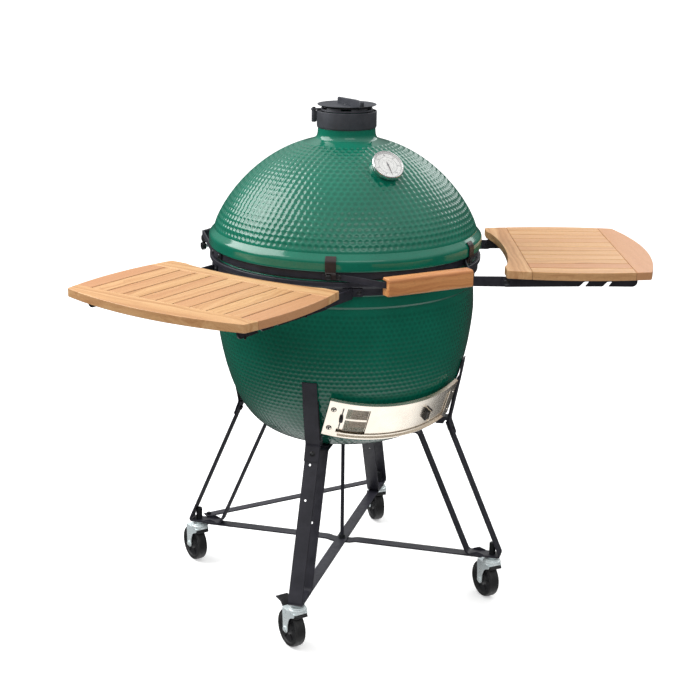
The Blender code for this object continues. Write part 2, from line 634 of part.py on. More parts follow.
# ==================================================================== chimney cap
def vent_parts(cast):
    """Collar on the chimney, the swinging vent plate and the turning vent disc."""
    lug_at = radial(VENT_PIVOT_AZIMUTH) * VENT_PIVOT_REACH
    lug_frame = Matrix.Translation(lug_at)
    profile = [(COLLAR_RADIUS, COLLAR_TOP), (COLLAR_RADIUS, 1.2600), (0.0740, COLLAR_BOTTOM + 0.002),
               (0.0722, COLLAR_BOTTOM), (COLLAR_BORE, COLLAR_BOTTOM), (COLLAR_BORE, 1.2859),
               (0.0580, 1.2859), (0.0580, 1.2884), (0.0715, 1.2884), (0.0725, COLLAR_TOP)]
    collar = turned("vent_collar", profile, cast, 32)
    lug = cylinder("pivot_lug", 0.0058, 1.2620, 1.2914, cast, lug_frame, 16)
    combine(collar, lug, "UNION")
    web = box("lug_web", (0.0735, -0.003, 1.2640), (0.0830, 0.003, 1.2900), cast,
              Matrix.Rotation(math.radians(VENT_PIVOT_AZIMUTH - 90), 4, "Z"))
    combine(collar, web, "UNION")
    pin = cylinder("pivot_pin", 0.0030, 1.2880, 1.2990, cast, lug_frame, 12)
    combine(collar, pin, "UNION")

    wall_inner = VENT_WALL_RADIUS - 0.0030
    plate_top = VENT_PLATE_BOTTOM + 0.0026
    ring = [(VENT_WALL_RADIUS - 0.002, VENT_WALL_TOP), (VENT_WALL_RADIUS + 0.001, VENT_PLATE_BOTTOM),
            (0.0520, VENT_PLATE_BOTTOM), (0.0520, plate_top), (wall_inner, plate_top),
            (wall_inner - 0.0006, VENT_WALL_TOP)]
    plate = turned("vent_plate", ring, cast, 32)
    eye_loops = [arc((VENT_PIVOT_REACH, 0), 0.0075, -90, 90, 8) + [(0.0640, 0.0075), (0.0640, -0.0075)],
                 arc((VENT_PIVOT_REACH, 0), 0.0034, 0, 330, 11)]
    eye_frame = Matrix.Rotation(math.radians(VENT_PIVOT_AZIMUTH - 90), 4, "Z")
    eye_frame.translation = (0, 0, VENT_PLATE_BOTTOM + 0.0020)
    eye = outline("plate_eye", eye_loops, 0.0038, cast, eye_frame)
    combine(plate, eye, "UNION")
    skirt = wall_inner - 0.0014
    disc_profile = [(0.0, 1.3085), (0.0560, 1.3088), (0.0725, 1.3112), (VENT_DISC_RADIUS, 1.3108),
                    (0.0730, 1.3090), (skirt, 1.3062), (skirt, 1.2952), (skirt - 0.0026, 1.2952),
                    (skirt - 0.0026, 1.3062), (0.0, 1.3058)]
    disc = turned("vent_disc", disc_profile, cast, 32, closed=False)
    for i in range(VENT_WINDOWS):
        turn = Matrix.Rotation(math.tau * i / VENT_WINDOWS, 4, "Z")
        window = box("wall_window", (0.045, -0.0130, 1.2965), (0.080, 0.0130, 1.3035), cast, turn)
        combine(plate, window)
        port = box("skirt_window", (0.045, -0.0120, 1.2970), (skirt + 0.002, 0.0120, 1.3030), cast, turn)
        combine(disc, port)
    fin_shape = [(0.045, 1.3255), (-0.070, 1.3195), (-0.0795, 1.3170), (-0.0795, 1.3050), (-0.0762, 1.3050),
                 (-0.0735, 1.3098), (-0.0560, 1.3078), (0.045, 1.3078)]
    fin = side_profile("disc_fin", [fin_shape[::-1]], 0.0050, 0.0, cast)
    combine(disc, fin, "UNION")
    return collar, plate, disc


# ==================================================================== thermometer
def gauge_frame():
    """Frame of the dial: local Z points out of its face."""
    return Matrix.Translation(GAUGE_CENTRE) @ Matrix.Rotation(math.radians(GAUGE_TILT), 4, "X")


def thermometer_parts(chrome, ink, glass):
    """Dial thermometer: case with its probe, pointer and lens."""
    profile = [(0.0, -0.0040), (0.0372, -0.0040), (0.0376, 0.0), (GAUGE_RADIUS, -0.0012),
               (GAUGE_RADIUS, -GAUGE_DEPTH + 0.001), (0.0370, -GAUGE_DEPTH), (0.0090, -GAUGE_DEPTH),
               (0.0090, BOSS_FACE + GAP), (0.0045, BOSS_FACE + GAP), (0.0045, -0.085), (0.0, -0.088)]
    case = turned("thermometer_case", profile, chrome, 32, GAUGE_FRAME, closed=False)
    lens = cylinder("thermometer_lens", 0.0369, -0.0018, -0.0006, glass, GAUGE_FRAME, 32)
    needle = arc((0, 0), 0.0032, 60, 300, 8) + [(0.0290, -0.0006), (0.0290, 0.0006)]
    turn = GAUGE_FRAME @ Matrix.Rotation(math.radians(POINTER_REST), 4, "Z")
    pointer_place = turn @ Matrix.Translation((0, 0, -0.0029))
    pointer = outline("thermometer_pointer", [needle], 0.0008, ink, pointer_place)
    return case, lens, pointer


# ==================================================================== draft door
def draft_parts(steel, black):
    """Draft door: frame, mesh screen, solid slider and its handle."""
    whole = (-DOOR_HALF_WIDTH, DOOR_HALF_WIDTH)
    frame = door_piece("draft_frame", FRAME_DEPTH, whole, DOOR_HALF_HEIGHT, steel)
    window = box("frame_window", (-WINDOW_HALF_WIDTH, -0.5, -WINDOW_HALF_HEIGHT),
                 (WINDOW_HALF_WIDTH, -0.2, WINDOW_HALF_HEIGHT), steel, DOOR_FRAME)
    combine(frame, window)
    for name, depth in (("screen_track", SCREEN_TRACK), ("slider_track", SLIDER_TRACK)):
        track = door_piece(name, depth, (-TRACK_HALF_WIDTH, TRACK_HALF_WIDTH), TRACK_HALF_HEIGHT, steel)
        combine(frame, track)
    screen = door_piece("draft_screen", SCREEN_PLATE, SCREEN_SPAN, SLIDE_HALF_HEIGHT, steel)
    for column in range(4):
        left = SCREEN_SPAN[0] + 0.024 + 0.052 * column
        for low, high in ((-0.033, -0.002), (0.002, 0.033)):
            opening = box("screen_window", (left, -0.5, low), (left + 0.046, -0.2, high), steel, DOOR_FRAME)
            combine(screen, opening)
    knob_turn = Matrix.Rotation(math.asin(SCREEN_KNOB_X / DOOR_RADIUS), 4, "Z")
    knob = box("screen_knob", (-0.0035, -DOOR_RADIUS - 0.0190, -0.0075),
               (0.0035, -DOOR_RADIUS - 0.0026, 0.0075), steel, DOOR_FRAME @ knob_turn)
    combine(screen, knob, "UNION")
    slider = door_piece("draft_slider", SLIDER_PLATE, SLIDER_SPAN, SLIDE_HALF_HEIGHT, steel)
    grip_turn = Matrix.Rotation(math.asin(0.0800 / DOOR_RADIUS), 4, "Z")
    grip = box("draft_slider_handle", (-0.0085, -DOOR_RADIUS - 0.0270, -0.0160),
               (0.0085, -DOOR_RADIUS - SLIDER_PLATE[1] - GAP, 0.0160), black, DOOR_FRAME @ grip_turn)
    return frame, screen, slider, grip


# ==================================================================== stand
def leg(word, azimuth, steel):
    """One leg: a single flat bar bent up on both sides of its foot plate."""
    path = [LEG_TOP, (LEG_FOOT_OUTER, FOOT_Z), (LEG_FOOT_INNER, FOOT_Z), LEG_INNER_TOP,
            (LEG_TAB_REACH, LEG_INNER_TOP[1])]
    made = outline("leg_" + word, [strip_loop(path, STRIP)], LEG_WIDTH, steel, upright_plane(azimuth))
    place = Matrix.Translation(radial(azimuth) * CASTER_REACH)
    socket = cylinder("stem_socket", SOCKET_RADIUS, FOOT_Z, SOCKET_TOP, steel, place, 16)
    combine(made, socket, "UNION")
    bore = cylinder("stem_bore", STEM_RADIUS + 0.0006, FOOT_Z - 0.01, SOCKET_TOP - 0.004, steel, place, 16)
    combine(made, bore)
    return made


def clamp(word, azimuth, steel):
    """Clamp bolted to a leg's top: a strap up the bowl and a lug under it."""
    slope = (LEG_FOOT_OUTER - LEG_TOP[0]) / (LEG_TOP[1] - FOOT_Z)
    gap = (STRIP / 2 + 0.0015 + GAP) * math.hypot(1.0, slope)
    start = (LEG_TOP[0] + gap + slope * 0.042, LEG_TOP[1] - 0.042)
    knee = (LEG_TOP[0] + gap + 0.0012, LEG_TOP[1] + 0.0030)
    strap = strip_loop([start, knee, (0.3140, 0.6280), (0.3205, 0.6700)], 0.003)
    made = outline("clamp_" + word, [strap], CLAMP_WIDTH, steel, upright_plane(azimuth))
    lug = [(knee[0] + 0.0010, 0.4995), (0.2770, 0.4995), (0.2750, 0.4900), (0.2540, 0.4890), (0.2515, 0.4990),
           (0.2580, 0.5150), (0.2630, 0.5170), (0.2740, 0.5080), (knee[0] + 0.0020, 0.5080)]
    tongue = outline("clamp_lug", [lug[::-1]], CLAMP_WIDTH - 0.008, steel, upright_plane(azimuth))
    combine(made, tongue, "UNION")
    return made


def flat_bar(name, azimuth, half_length, width, low, steel):
    """A flat bar through the middle of the stand, along an azimuth."""
    turn = Matrix.Rotation(math.radians(azimuth - 90), 4, "Z")
    return box(name, (-half_length, -width / 2, low), (half_length, width / 2, low + CROSS_BAR), steel, turn)


def stand_bars(steel):
    """The lower cross, the rear brace, the centre post and the upper cross."""
    plate_top = FOOT_Z + STRIP / 2 + GAP
    upper_z = FOOT_Z - STRIP / 2 - GAP - CROSS_BAR / 2
    lower_z = upper_z - CROSS_BAR - GAP
    upper = flat_bar("lower_bar_upper", STAND_TURN - 45, BAR_REACH, BAR_WIDTH, upper_z - CROSS_BAR / 2, steel)
    joggle = [(0.025, lower_z), (0.040, upper_z), (BAR_REACH, upper_z)]
    path = [(-reach, height) for reach, height in joggle[::-1]] + joggle
    outline("lower_bar_lower", [strip_loop(path, CROSS_BAR)], BAR_WIDTH, steel,
            upright_plane(STAND_TURN + 45))
    hole = cylinder("post_hole", POST_RADIUS + 0.0004, 0.10, 0.16, steel, segments=12)
    combine(upper, hole)
    box("rear_brace", (-BRACE_HALF_LENGTH, BRACE_Y - 0.012, plate_top),
        (BRACE_HALF_LENGTH, BRACE_Y + 0.012, plate_top + CROSS_BAR), steel,
        Matrix.Rotation(math.radians(STAND_TURN), 4, "Z"))
    cross_low = LEG_INNER_TOP[1] + STRIP / 2 + GAP
    cross = flat_bar("upper_cross", STAND_TURN - 45, 0.200, BAR_WIDTH, cross_low, steel)
    other = flat_bar("upper_cross_arm", STAND_TURN + 45, 0.200, BAR_WIDTH, cross_low, steel)
    combine(cross, other, "UNION")
    post_low = lower_z + CROSS_BAR / 2 + GAP
    cylinder("centre_post", POST_RADIUS, post_low, cross_low - GAP, steel, segments=12)


# ==================================================================== casters
def caster_meshes(zinc, rubber):
    """The shared shapes of the fork and the wheel, about the swivel axis, trailing along +X."""
    axle = Matrix.Translation((CASTER_TRAIL, 0, WHEEL_RADIUS)) @ Matrix.Rotation(math.radians(90), 4, "X")
    half = WHEEL_WIDTH / 2
    rim = WHEEL_RADIUS
    tread = [(rim - 0.003, half), (rim, half - 0.004), (rim, 0.004 - half), (rim - 0.003, -half),
             (0.0200, 0.002 - half), (WHEEL_BORE, -half), (WHEEL_BORE, half), (0.0200, half - 0.002)]
    wheel = turned("caster_wheel", tread, rubber, SMALL_SEGMENTS, axle)
    crown = box("caster_fork", (-0.0200, -0.0205, FORK_CROWN - FORK_SHEET),
                (0.0420, 0.0205, FORK_CROWN), zinc)
    cheek = [(-0.0160, FORK_CROWN), (0.0400, FORK_CROWN), (0.0420, 0.0960)] + \
        arc((CASTER_TRAIL, WHEEL_RADIUS), 0.0110, 20, -160, 8) + [(-0.0120, 0.0960)]
    for side in (-1, 1):
        frame = Matrix.Translation((0, side * 0.0185, 0)) @ Matrix.Rotation(math.radians(90), 4, "X")
        plate = outline("fork_cheek", [cheek[::-1]], FORK_SHEET, zinc, frame)
        combine(crown, plate, "UNION")
    head = cylinder("fork_head", 0.0240, 0.1050, 0.1200, zinc, tip=0.0200, segments=20)
    combine(crown, head, "UNION")
    shoulder = cylinder("fork_shoulder", 0.0110, 0.1190, FORK_TOP, zinc, segments=16)
    combine(crown, shoulder, "UNION")
    stem = cylinder("fork_stem", STEM_RADIUS, 0.1200, SOCKET_TOP - 0.0060, zinc, segments=16)
    combine(crown, stem, "UNION")
    bolt = cylinder("fork_axle", AXLE_RADIUS, -0.0230, 0.0230, zinc, axle, 12)
    combine(crown, bolt, "UNION")
    graph = bpy.context.evaluated_depsgraph_get()
    meshes = []
    for item in (crown, wheel):
        mesh = bpy.data.meshes.new_from_object(item.evaluated_get(graph))
        mesh.transform(item.matrix_world)
        meshes.append(mesh)
    for item in (crown, wheel):
        bpy.data.objects.remove(item, do_unlink=True)
    return meshes


def casters(zinc, rubber, black):
    """Four swivel casters, and the brake pedal of the front left one."""
    fork_mesh, wheel_mesh = caster_meshes(zinc, rubber)
    for word, azimuth in LEG_AZIMUTHS.items():
        place = Matrix.Translation(radial(azimuth) * CASTER_REACH)
        place = place @ Matrix.Rotation(math.radians(CASTER_HEADINGS[word]), 4, "Z")
        fork = add_object("caster_fork_" + word, fork_mesh.copy(), zinc, place)
        wheel = add_object("caster_wheel_" + word, wheel_mesh.copy(), rubber, place)
        pieces = [fork, wheel]
        if word == "front_left":
            shape = arc(PEDAL_PIVOT, 0.0024, 130, 320, 8)
            shape += [(0.0545, 0.1125), (0.0800, 0.1150), (0.0800, 0.1180), (0.0520, 0.1160)]
            frame = place @ Matrix.Rotation(math.radians(90), 4, "X")
            pieces.append(outline("brake_pedal", [shape], 0.0340, black, frame))
        hang_on("caster_swivel_" + word, place.translation, pieces, place)


# ==================================================================== shelves
def shelf_frame(side, azimuth):
    """Frame of a shelf: X along it, towards the front of the grill, Y outwards, Z up or down."""
    out = radial(azimuth)
    along = Vector((0, 0, 1)).cross(out) * -side
    return Matrix((along, out, along.cross(out))).transposed().to_4x4()


def shelf(word, side, wood, steel):
    """A slatted wooden shelf with two steel arms, and its two brackets on the lower band."""
    azimuth = side * SHELF_AZIMUTH
    frame = shelf_frame(side, azimuth)
    corners = [(-SHELF_INNER_HALF, SHELF_INNER), (SHELF_INNER_HALF, SHELF_INNER),
               (SHELF_OUTER_HALF, SHELF_OUTER), (-SHELF_OUTER_HALF, SHELF_OUTER)]
    edge = bowed(corners[0], corners[1], -SHELF_INNER_SAG, 10)
    edge += bowed(corners[1], corners[2], SHELF_SIDE_SAG, 6)
    edge += bowed(corners[2], corners[3], SHELF_OUTER_SAG, 10)
    edge += bowed(corners[3], corners[0], SHELF_SIDE_SAG, 6)
    loops = [edge]
    for i in range(SLOTS):
        middle = (i - (SLOTS - 1) / 2) * SLOT_PITCH
        low, high = middle - SLOT_WIDTH / 2, middle + SLOT_WIDTH / 2
        loops.append([(low, SLOT_INNER), (high, SLOT_INNER), (high, SLOT_OUTER), (low, SLOT_OUTER)])
    board_frame = frame.copy()
    board_frame.translation = (0, 0, SHELF_TOP - SHELF_THICKNESS / 2)
    moving = [outline("shelf_" + word, loops, SHELF_THICKNESS, wood, board_frame)]
    arm_top = SHELF_TOP - SHELF_THICKNESS - GAP
    arm_shape = arc((PIVOT_REACH, PIVOT_Z), 0.0120, 100, 270, 8) + \
        [(0.4300, 0.8915), (0.5700, 0.8990), (0.5740, 0.9070), (0.5880, 0.9070), (0.5920, 0.9000),
         (0.6250, 0.9010), (0.6290, 0.9070), (0.6430, 0.9070), (0.6470, 0.9015)] + \
        arc((0.7060, 0.9110), 0.0090, -90, 45, 5) + [(0.7000, arm_top), (0.4120, arm_top)]
    for end, sign in (("front", 1), ("rear", -1)):
        arm = outline(f"shelf_arm_{word}_{end}", [arm_shape], ARM_THICKNESS, steel,
                      upright_plane(azimuth, -side * sign * ARM_OFFSET))
        pin_frame = upright_plane(azimuth, -side * sign * (ARM_OFFSET - 0.005))
        pin_frame = pin_frame @ Matrix.Translation((PIVOT_REACH, PIVOT_Z, 0))
        pin = cylinder("arm_pin", PIVOT_PIN_RADIUS, -0.0062, 0.0062, steel, pin_frame, 16)
        combine(arm, pin, "UNION")
        moving.append(arm)
        shelf_bracket(f"shelf_bracket_{word}_{end}", azimuth, side * sign, steel)
    pivot = radial(azimuth) * PIVOT_REACH + Vector((0, 0, PIVOT_Z))
    hang_on("shelf_pivot_" + word, pivot, moving)


def shelf_bracket(name, azimuth, turn, steel):
    """Bracket bolted to the lower band: a curved-to-fit plate with a cheek for the arm."""
    offset = ARM_OFFSET - 0.0055
    cheek_shape = [(0.2765, 0.8915), (0.3800, 0.8905)] + arc((PIVOT_REACH, PIVOT_Z), 0.0125, -90, 90, 8) + \
        [(0.3800, 0.9160), (0.2765, 0.9160)]
    hole = arc((PIVOT_REACH, PIVOT_Z), PIVOT_PIN_RADIUS + 0.0005, 0, 345, 15)
    cheek = outline(name, [cheek_shape, hole], 0.0045, steel, upright_plane(azimuth, -turn * offset))
    swing = math.degrees(math.asin(offset / (BAND_OUTER + 0.003)))
    plate_frame = upright_plane(azimuth + turn * swing)
    plate = box(name + "_plate", (BAND_OUTER + 0.0006, 0.8910, -0.0240),
                (BAND_OUTER + 0.0046, 0.9165, 0.0240), steel, plate_frame)
    combine(cheek, plate, "UNION")


# ==================================================================== the grill
def build():
    """Make every piece of the grill."""
    glaze = new_material("green_glazed_ceramic", (0.010, 0.140, 0.075), 0.12)
    clay = new_material("fired_clay", (0.62, 0.52, 0.40), 0.85)
    black = new_material("black_powder_coat", (0.020, 0.020, 0.023), 0.45)
    cast = new_material("cast_aluminium_grey", (0.062, 0.066, 0.080), 0.55, 0.4)
    stainless = new_material("stainless_steel", (0.78, 0.76, 0.72), 0.25, 1.0)
    iron = new_material("cast_iron", (0.03, 0.03, 0.03), 0.7, 0.6)
    felt = new_material("felt", (0.10, 0.10, 0.10), 0.95)
    wood = new_material("acacia_wood", (0.74, 0.45, 0.20), 0.5)
    grip_wood = new_material("grip_wood", (0.60, 0.28, 0.10), 0.45)
    zinc = new_material("zinc_plate", (0.62, 0.68, 0.74), 0.3, 1.0)
    rubber = new_material("black_rubber", (0.015, 0.015, 0.016), 0.6)
    chrome = new_material("chrome", (0.85, 0.85, 0.85), 0.12, 1.0)
    ink = new_material("dark_needle", (0.05, 0.05, 0.06), 0.4)
    glass = new_material("clear_glass", (0.95, 0.97, 0.98), 0.02)

    base_shell(glaze)
    cooking_grid = fire_parts(clay, iron, stainless)
    hang_on("cooking_grid_lift", (0, 0, FIRE_RING_TOP), [cooking_grid])
    lid = dome_lid(glaze)
    upper_band, lid_seal = bands_and_seals(black, felt)
    yoke = hinge_parts(black, zinc)
    handle = handle_parts(black, grip_wood)
    collar, vent_plate, vent_disc = vent_parts(cast)
    case, lens, pointer = thermometer_parts(chrome, ink, glass)
    hang_on("lid_hinge", (0, HINGE_Y, HINGE_Z),
            [lid, upper_band, lid_seal, yoke, collar, case, lens] + handle)
    lug_at = radial(VENT_PIVOT_AZIMUTH) * VENT_PIVOT_REACH
    hang_on("vent_plate_pivot", lug_at + Vector((0, 0, VENT_PLATE_BOTTOM)), [vent_plate])
    hang_on("vent_disc_axis", (0, 0, VENT_WALL_TOP), [vent_disc])
    hang_on("pointer_axis", GAUGE_CENTRE, [pointer], GAUGE_FRAME)
    frame, screen, slider, slider_grip = draft_parts(stainless, black)
    hang_on("screen_axis", DOOR_FRAME.translation, [screen], DOOR_FRAME)
    hang_on("slider_axis", DOOR_FRAME.translation, [slider, slider_grip], DOOR_FRAME)
    for word, azimuth in LEG_AZIMUTHS.items():
        leg(word, azimuth, black)
        clamp(word, azimuth, black)
    stand_bars(black)
    casters(zinc, rubber, black)
    shelf("left", -1, wood, black)
    shelf("right", 1, wood, black)


def stand_on_origin():
    """Move the grill so that the middle of its footprint is over the origin."""
    graph = bpy.context.evaluated_depsgraph_get()
    depths = []
    for item in PARTS.objects:
        if item.type == "MESH":
            mesh = item.evaluated_get(graph).data
            depths += [(item.matrix_world @ vertex.co).y for vertex in mesh.vertices]
    middle = (min(depths) + max(depths)) / 2
    for item in list(PARTS.objects) + list(CUTTERS.objects):
        if item.parent is None:
            item.location.y -= middle


clear_scene()
PARTS = new_collection("kamado_grill")
CUTTERS = new_collection("cutters")
DOOR_FRAME = door_frame_matrix()
GAUGE_FRAME = gauge_frame()
build()
stand_on_origin()
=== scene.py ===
"""Looks of the kamado ceramic grill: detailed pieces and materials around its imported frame.

Metres, +Z up. Pieces are modelled about the vertical axis of the ceramic body and then moved
to AXIS. An azimuth is in degrees from the grill's front (-Y), positive towards +X.
"""
import json
import math

import bmesh
import bpy
import numpy as np
from mathutils import Matrix, Vector

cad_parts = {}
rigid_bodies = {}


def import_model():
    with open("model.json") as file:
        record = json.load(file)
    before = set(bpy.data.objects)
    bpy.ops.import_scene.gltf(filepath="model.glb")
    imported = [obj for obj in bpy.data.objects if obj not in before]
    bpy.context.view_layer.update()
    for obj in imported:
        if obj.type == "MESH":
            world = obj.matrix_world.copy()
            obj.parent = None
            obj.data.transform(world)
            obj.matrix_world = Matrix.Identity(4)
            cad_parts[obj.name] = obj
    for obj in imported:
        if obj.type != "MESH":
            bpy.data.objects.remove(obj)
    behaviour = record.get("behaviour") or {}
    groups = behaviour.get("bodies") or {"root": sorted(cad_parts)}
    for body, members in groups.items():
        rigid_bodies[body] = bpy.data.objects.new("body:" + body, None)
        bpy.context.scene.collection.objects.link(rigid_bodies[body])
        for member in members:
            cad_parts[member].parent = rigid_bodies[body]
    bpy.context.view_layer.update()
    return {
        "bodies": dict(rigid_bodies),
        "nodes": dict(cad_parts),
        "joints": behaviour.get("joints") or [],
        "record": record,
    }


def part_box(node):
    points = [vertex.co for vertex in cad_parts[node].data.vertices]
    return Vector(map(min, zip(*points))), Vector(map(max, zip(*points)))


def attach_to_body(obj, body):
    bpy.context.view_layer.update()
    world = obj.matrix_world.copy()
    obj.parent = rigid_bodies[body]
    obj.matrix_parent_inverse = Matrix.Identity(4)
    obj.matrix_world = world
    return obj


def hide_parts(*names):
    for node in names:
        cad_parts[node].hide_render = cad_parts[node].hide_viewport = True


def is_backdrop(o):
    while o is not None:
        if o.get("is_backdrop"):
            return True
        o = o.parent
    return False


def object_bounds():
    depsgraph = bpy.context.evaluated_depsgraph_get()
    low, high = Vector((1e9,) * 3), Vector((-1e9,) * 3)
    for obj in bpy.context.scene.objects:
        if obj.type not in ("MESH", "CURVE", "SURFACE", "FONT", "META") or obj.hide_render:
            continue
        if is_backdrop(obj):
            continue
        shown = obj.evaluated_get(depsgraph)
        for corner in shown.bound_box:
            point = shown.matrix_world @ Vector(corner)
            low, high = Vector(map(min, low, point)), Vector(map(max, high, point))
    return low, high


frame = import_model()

BODY_LOW, BODY_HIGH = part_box("base_shell")
AXIS = Vector(((BODY_LOW.x + BODY_HIGH.x) / 2, (BODY_LOW.y + BODY_HIGH.y) / 2, 0.0))

# ---------------------------------------------------------------- ceramic body
ROUND_STEPS = 720          # facets round the ceramic
RING_STEPS = 240           # facets round bands and rings
SMALL_STEPS = 64           # facets round fittings
GRID_STEP = 0.0030         # spacing of the glazed surface's points
WALL = 0.027
BASE_BOTTOM = 0.4662
FOOT_RADIUS = 0.1850
BASE_POLE = 0.4538
BASE_FLOOR = 0.4925
FLOOR_RADIUS = 0.1100
BASE_BELLY = 0.8006
BASE_RADIUS = 0.3347
BASE_RIM = 0.9330
BASE_SQUARENESS = (5.0, 1.5)
BEAD_BOTTOM = 0.866
BEAD_RADIUS = 0.335
RIM_RADIUS = 0.3380
RIM_INNER = 0.3105
LID_RIM = 0.9365
FLANGE_RADIUS = 0.350
FLANGE_BOTTOM = 0.9554
FLANGE_TOP = 0.9824
DOME_BOTTOM = 0.9971
DOME_RADIUS = 0.3365
DOME_RISE = 0.2309
DOME_SQUARENESS = (2.2, 1.3)
DOME_TOP_RADIUS = 0.0970
NECK_FOOT = (0.0785, 1.2228)
NECK_RADIUS = 0.0733
NECK_LOWER = 1.2320
NECK_TOP_RADIUS = 0.0695
NECK_TOP = 1.2855
CHIMNEY_BORE = 0.0530
FIRE_BOX_RADIUS = 0.285
FIRE_BOX_TOP = 0.765
FIRE_BOX_BOTTOM = 0.5040
FIRE_BOX_THROAT = 0.150
GRATE_SEAT = 0.570
GRATE_SEAT_RADIUS = 0.205
GRATE_RADIUS = 0.198
GRATE_PITCH = 0.030
GRATE_SLOT_HALF = 0.007
FIRE_RING_TOP = 0.9150
GRID_RIM_RADIUS = 0.2925
GRID_PITCH = 0.022
DOME_DENT = 0.0160         # spacing of the dents in the glaze of the dome
BASE_DENT = 0.0138         # and of the base
DOME_DENT_DEPTH = 0.0017
BASE_DENT_DEPTH = 0.0009
DENT_SHARE = 0.50          # a dent's radius over the spacing
DENT_AZIMUTH = -25.0       # where neighbouring rows of dents interlock exactly

# ---------------------------------------------------------------- bands, seals, hinge
BAND_INNER = 0.3383
BAND_OUTER = 0.3423
BAND_LIP = 0.3485
LOWER_BAND = (0.8975, 0.9310)
LOWER_BAND_LIP = 0.9195
UPPER_BAND = (0.9370, 0.9550)
GASKETS = {"base_gasket": (0.9333, 0.9347), "lid_gasket": (0.9350, 0.9362)}
GASKET_RADII = (0.3125, 0.3365)
HINGE_Y = 0.402
HINGE_Z = 0.905
HINGE_HALF_WIDTH = 0.215
HINGE_EAR_X = 0.180
SPRING_Z = 0.884
YOKE_AZIMUTH = 94.0
YOKE_BAR = (0.9200, 0.9360)
PIN_RADIUS = 0.006
ROD_RADIUS = 0.0050
SPRING_RADIUS = 0.0090

# ---------------------------------------------------------------- handle
CLIP_AZIMUTH = 33.9
GRIP_HALF_LENGTH = 0.1150
GRIP_FRONT = -0.430
GRIP_BACK = -0.398
GRIP_BOTTOM = 0.9175
GRIP_TOP = 0.9605
BAR_Y = -0.4125
BAR_BOTTOM = 0.9365
BAR_TOP = 0.9515
BAR_THICKNESS = 0.003
GRIP_SLOT_END = -0.4150

# ---------------------------------------------------------------- chimney cap
COLLAR_RADIUS = 0.0756
COLLAR_BOTTOM = 1.2495
COLLAR_TOP = 1.2916
COLLAR_BORE = 0.0702
VENT_PLATE_BOTTOM = 1.2921
VENT_WALL_RADIUS = 0.0652
VENT_WALL_TOP = 1.3018
VENT_WINDOWS = 6
VENT_DISC_RADIUS = 0.0747
VENT_PIVOT_AZIMUTH = -116.0
VENT_PIVOT_REACH = 0.0830

# ---------------------------------------------------------------- thermometer
GAUGE_CENTRE = Vector((0.0, -0.215, 1.1876))
GAUGE_TILT = 45.0
GAUGE_RADIUS = 0.0405
GAUGE_DEPTH = 0.012
BOSS_FACE = -0.018
BOSS_RADIUS = 0.036
POINTER_REST = 272.5
DIAL_Z = -0.0040           # the dial's face behind the bezel's front
DIAL_RADIUS = 0.0372

# ---------------------------------------------------------------- draft door
DOOR_TILT = 25.6
DOOR_MIDDLE = Vector((0.0, -0.2895, 0.5625))
DOOR_RADIUS = 0.3275
DOOR_HALF_WIDTH = 0.178
DOOR_HALF_HEIGHT = 0.0560
FRAME_DEPTH = (0.0003, 0.0103)
WINDOW_HALF_WIDTH = 0.151
WINDOW_HALF_HEIGHT = 0.040
SLIDE_HALF_HEIGHT = 0.0460
SCREEN_PLATE = (0.0023, 0.0033)
SLIDER_PLATE = (0.0063, 0.0073)
SCREEN_SPAN = (-0.160, 0.076)
SCREEN_KNOB_X = -0.1455
SLIDER_SPAN = (-0.084, 0.150)
SLIDER_KNOB_X = 0.0800
DRAFT_HOLE = (-0.120, 0.060)
DRAFT_HALF_HEIGHT = 0.034
WIRE_PITCH = 0.0021
WIRE_RADIUS = 0.00028

# ---------------------------------------------------------------- stand
STAND_TURN = 1.6
LEG_AZIMUTHS = {"front_left": STAND_TURN - 45, "front_right": STAND_TURN + 45,
                "rear_right": STAND_TURN + 135, "rear_left": STAND_TURN - 135}
LEG_WIDTH = 0.036
STRIP = 0.005
FOOT_Z = 0.1295
LEG_TOP = (0.2830, 0.4955)
LEG_FOOT_OUTER = 0.4400
LEG_FOOT_INNER = 0.3500
LEG_INNER_TOP = (0.208, 0.4587)
LEG_TAB_REACH = 0.165
BAR_WIDTH = 0.030
CROSS_BAR = 0.004
BAR_REACH = 0.390
CLAMP_WIDTH = 0.038
POST_RADIUS = 0.005
HOLE_RADIUS = 0.0032
DRILL_REACH = 0.02
HOLE_OFFSET = 0.003
LEG_HOLES = ((0.4500, HOLE_OFFSET), (0.3685, 0.004))   # height and sideways place, outer bar
INNER_HOLE_SHARE = 0.476   # of the way up the inner bar

# ---------------------------------------------------------------- casters
CASTER_REACH = 0.416
CASTER_HEADINGS = {"front_left": 94.0, "front_right": 89.0, "rear_right": 80.0, "rear_left": 95.0}
CASTER_TRAIL = 0.028
WHEEL_RADIUS = 0.050
WHEEL_WIDTH = 0.028
FORK_TOP = 0.1263
PEDAL_PIVOT = (0.0447, 0.1050)
STEM_RADIUS = 0.0050
SOCKET_TOP = 0.1650

# ---------------------------------------------------------------- camera and room
CAMERA_PLACE = (-1.7307, -3.1411, 1.754)
CAMERA_TURNS = (28.55, 16.58, 0.73)   # heading, downward pitch and roll, in degrees
CAMERA_LENS = 74.345
ROOM_LIGHT = ((-1.0, 0.40), (-0.2, 0.30), (0.3, 0.75), (1.0, 1.30))   # slope of view, level
ROOM_SHINE = ((-1.0, 1.30), (-0.80, 1.25), (-0.66, 0.30), (-0.50, 0.05), (0.0, 0.05),
              (0.30, 0.35), (0.60, 0.95), (1.0, 0.80))
BRIGHTEST = 1.3
LAMPS = (("key", (-2.1, 1.5, 2.9), (0, 0, 1.0), (2.6, 2.2), 95),
         ("front", (-0.9, -3.4, 3.4), (0, 0, 0.9), (2.6, 1.4), 14),
         ("back_right", (2.6, 1.3, 2.5), (0, 0, 0.9), (1.6, 1.6), 16))

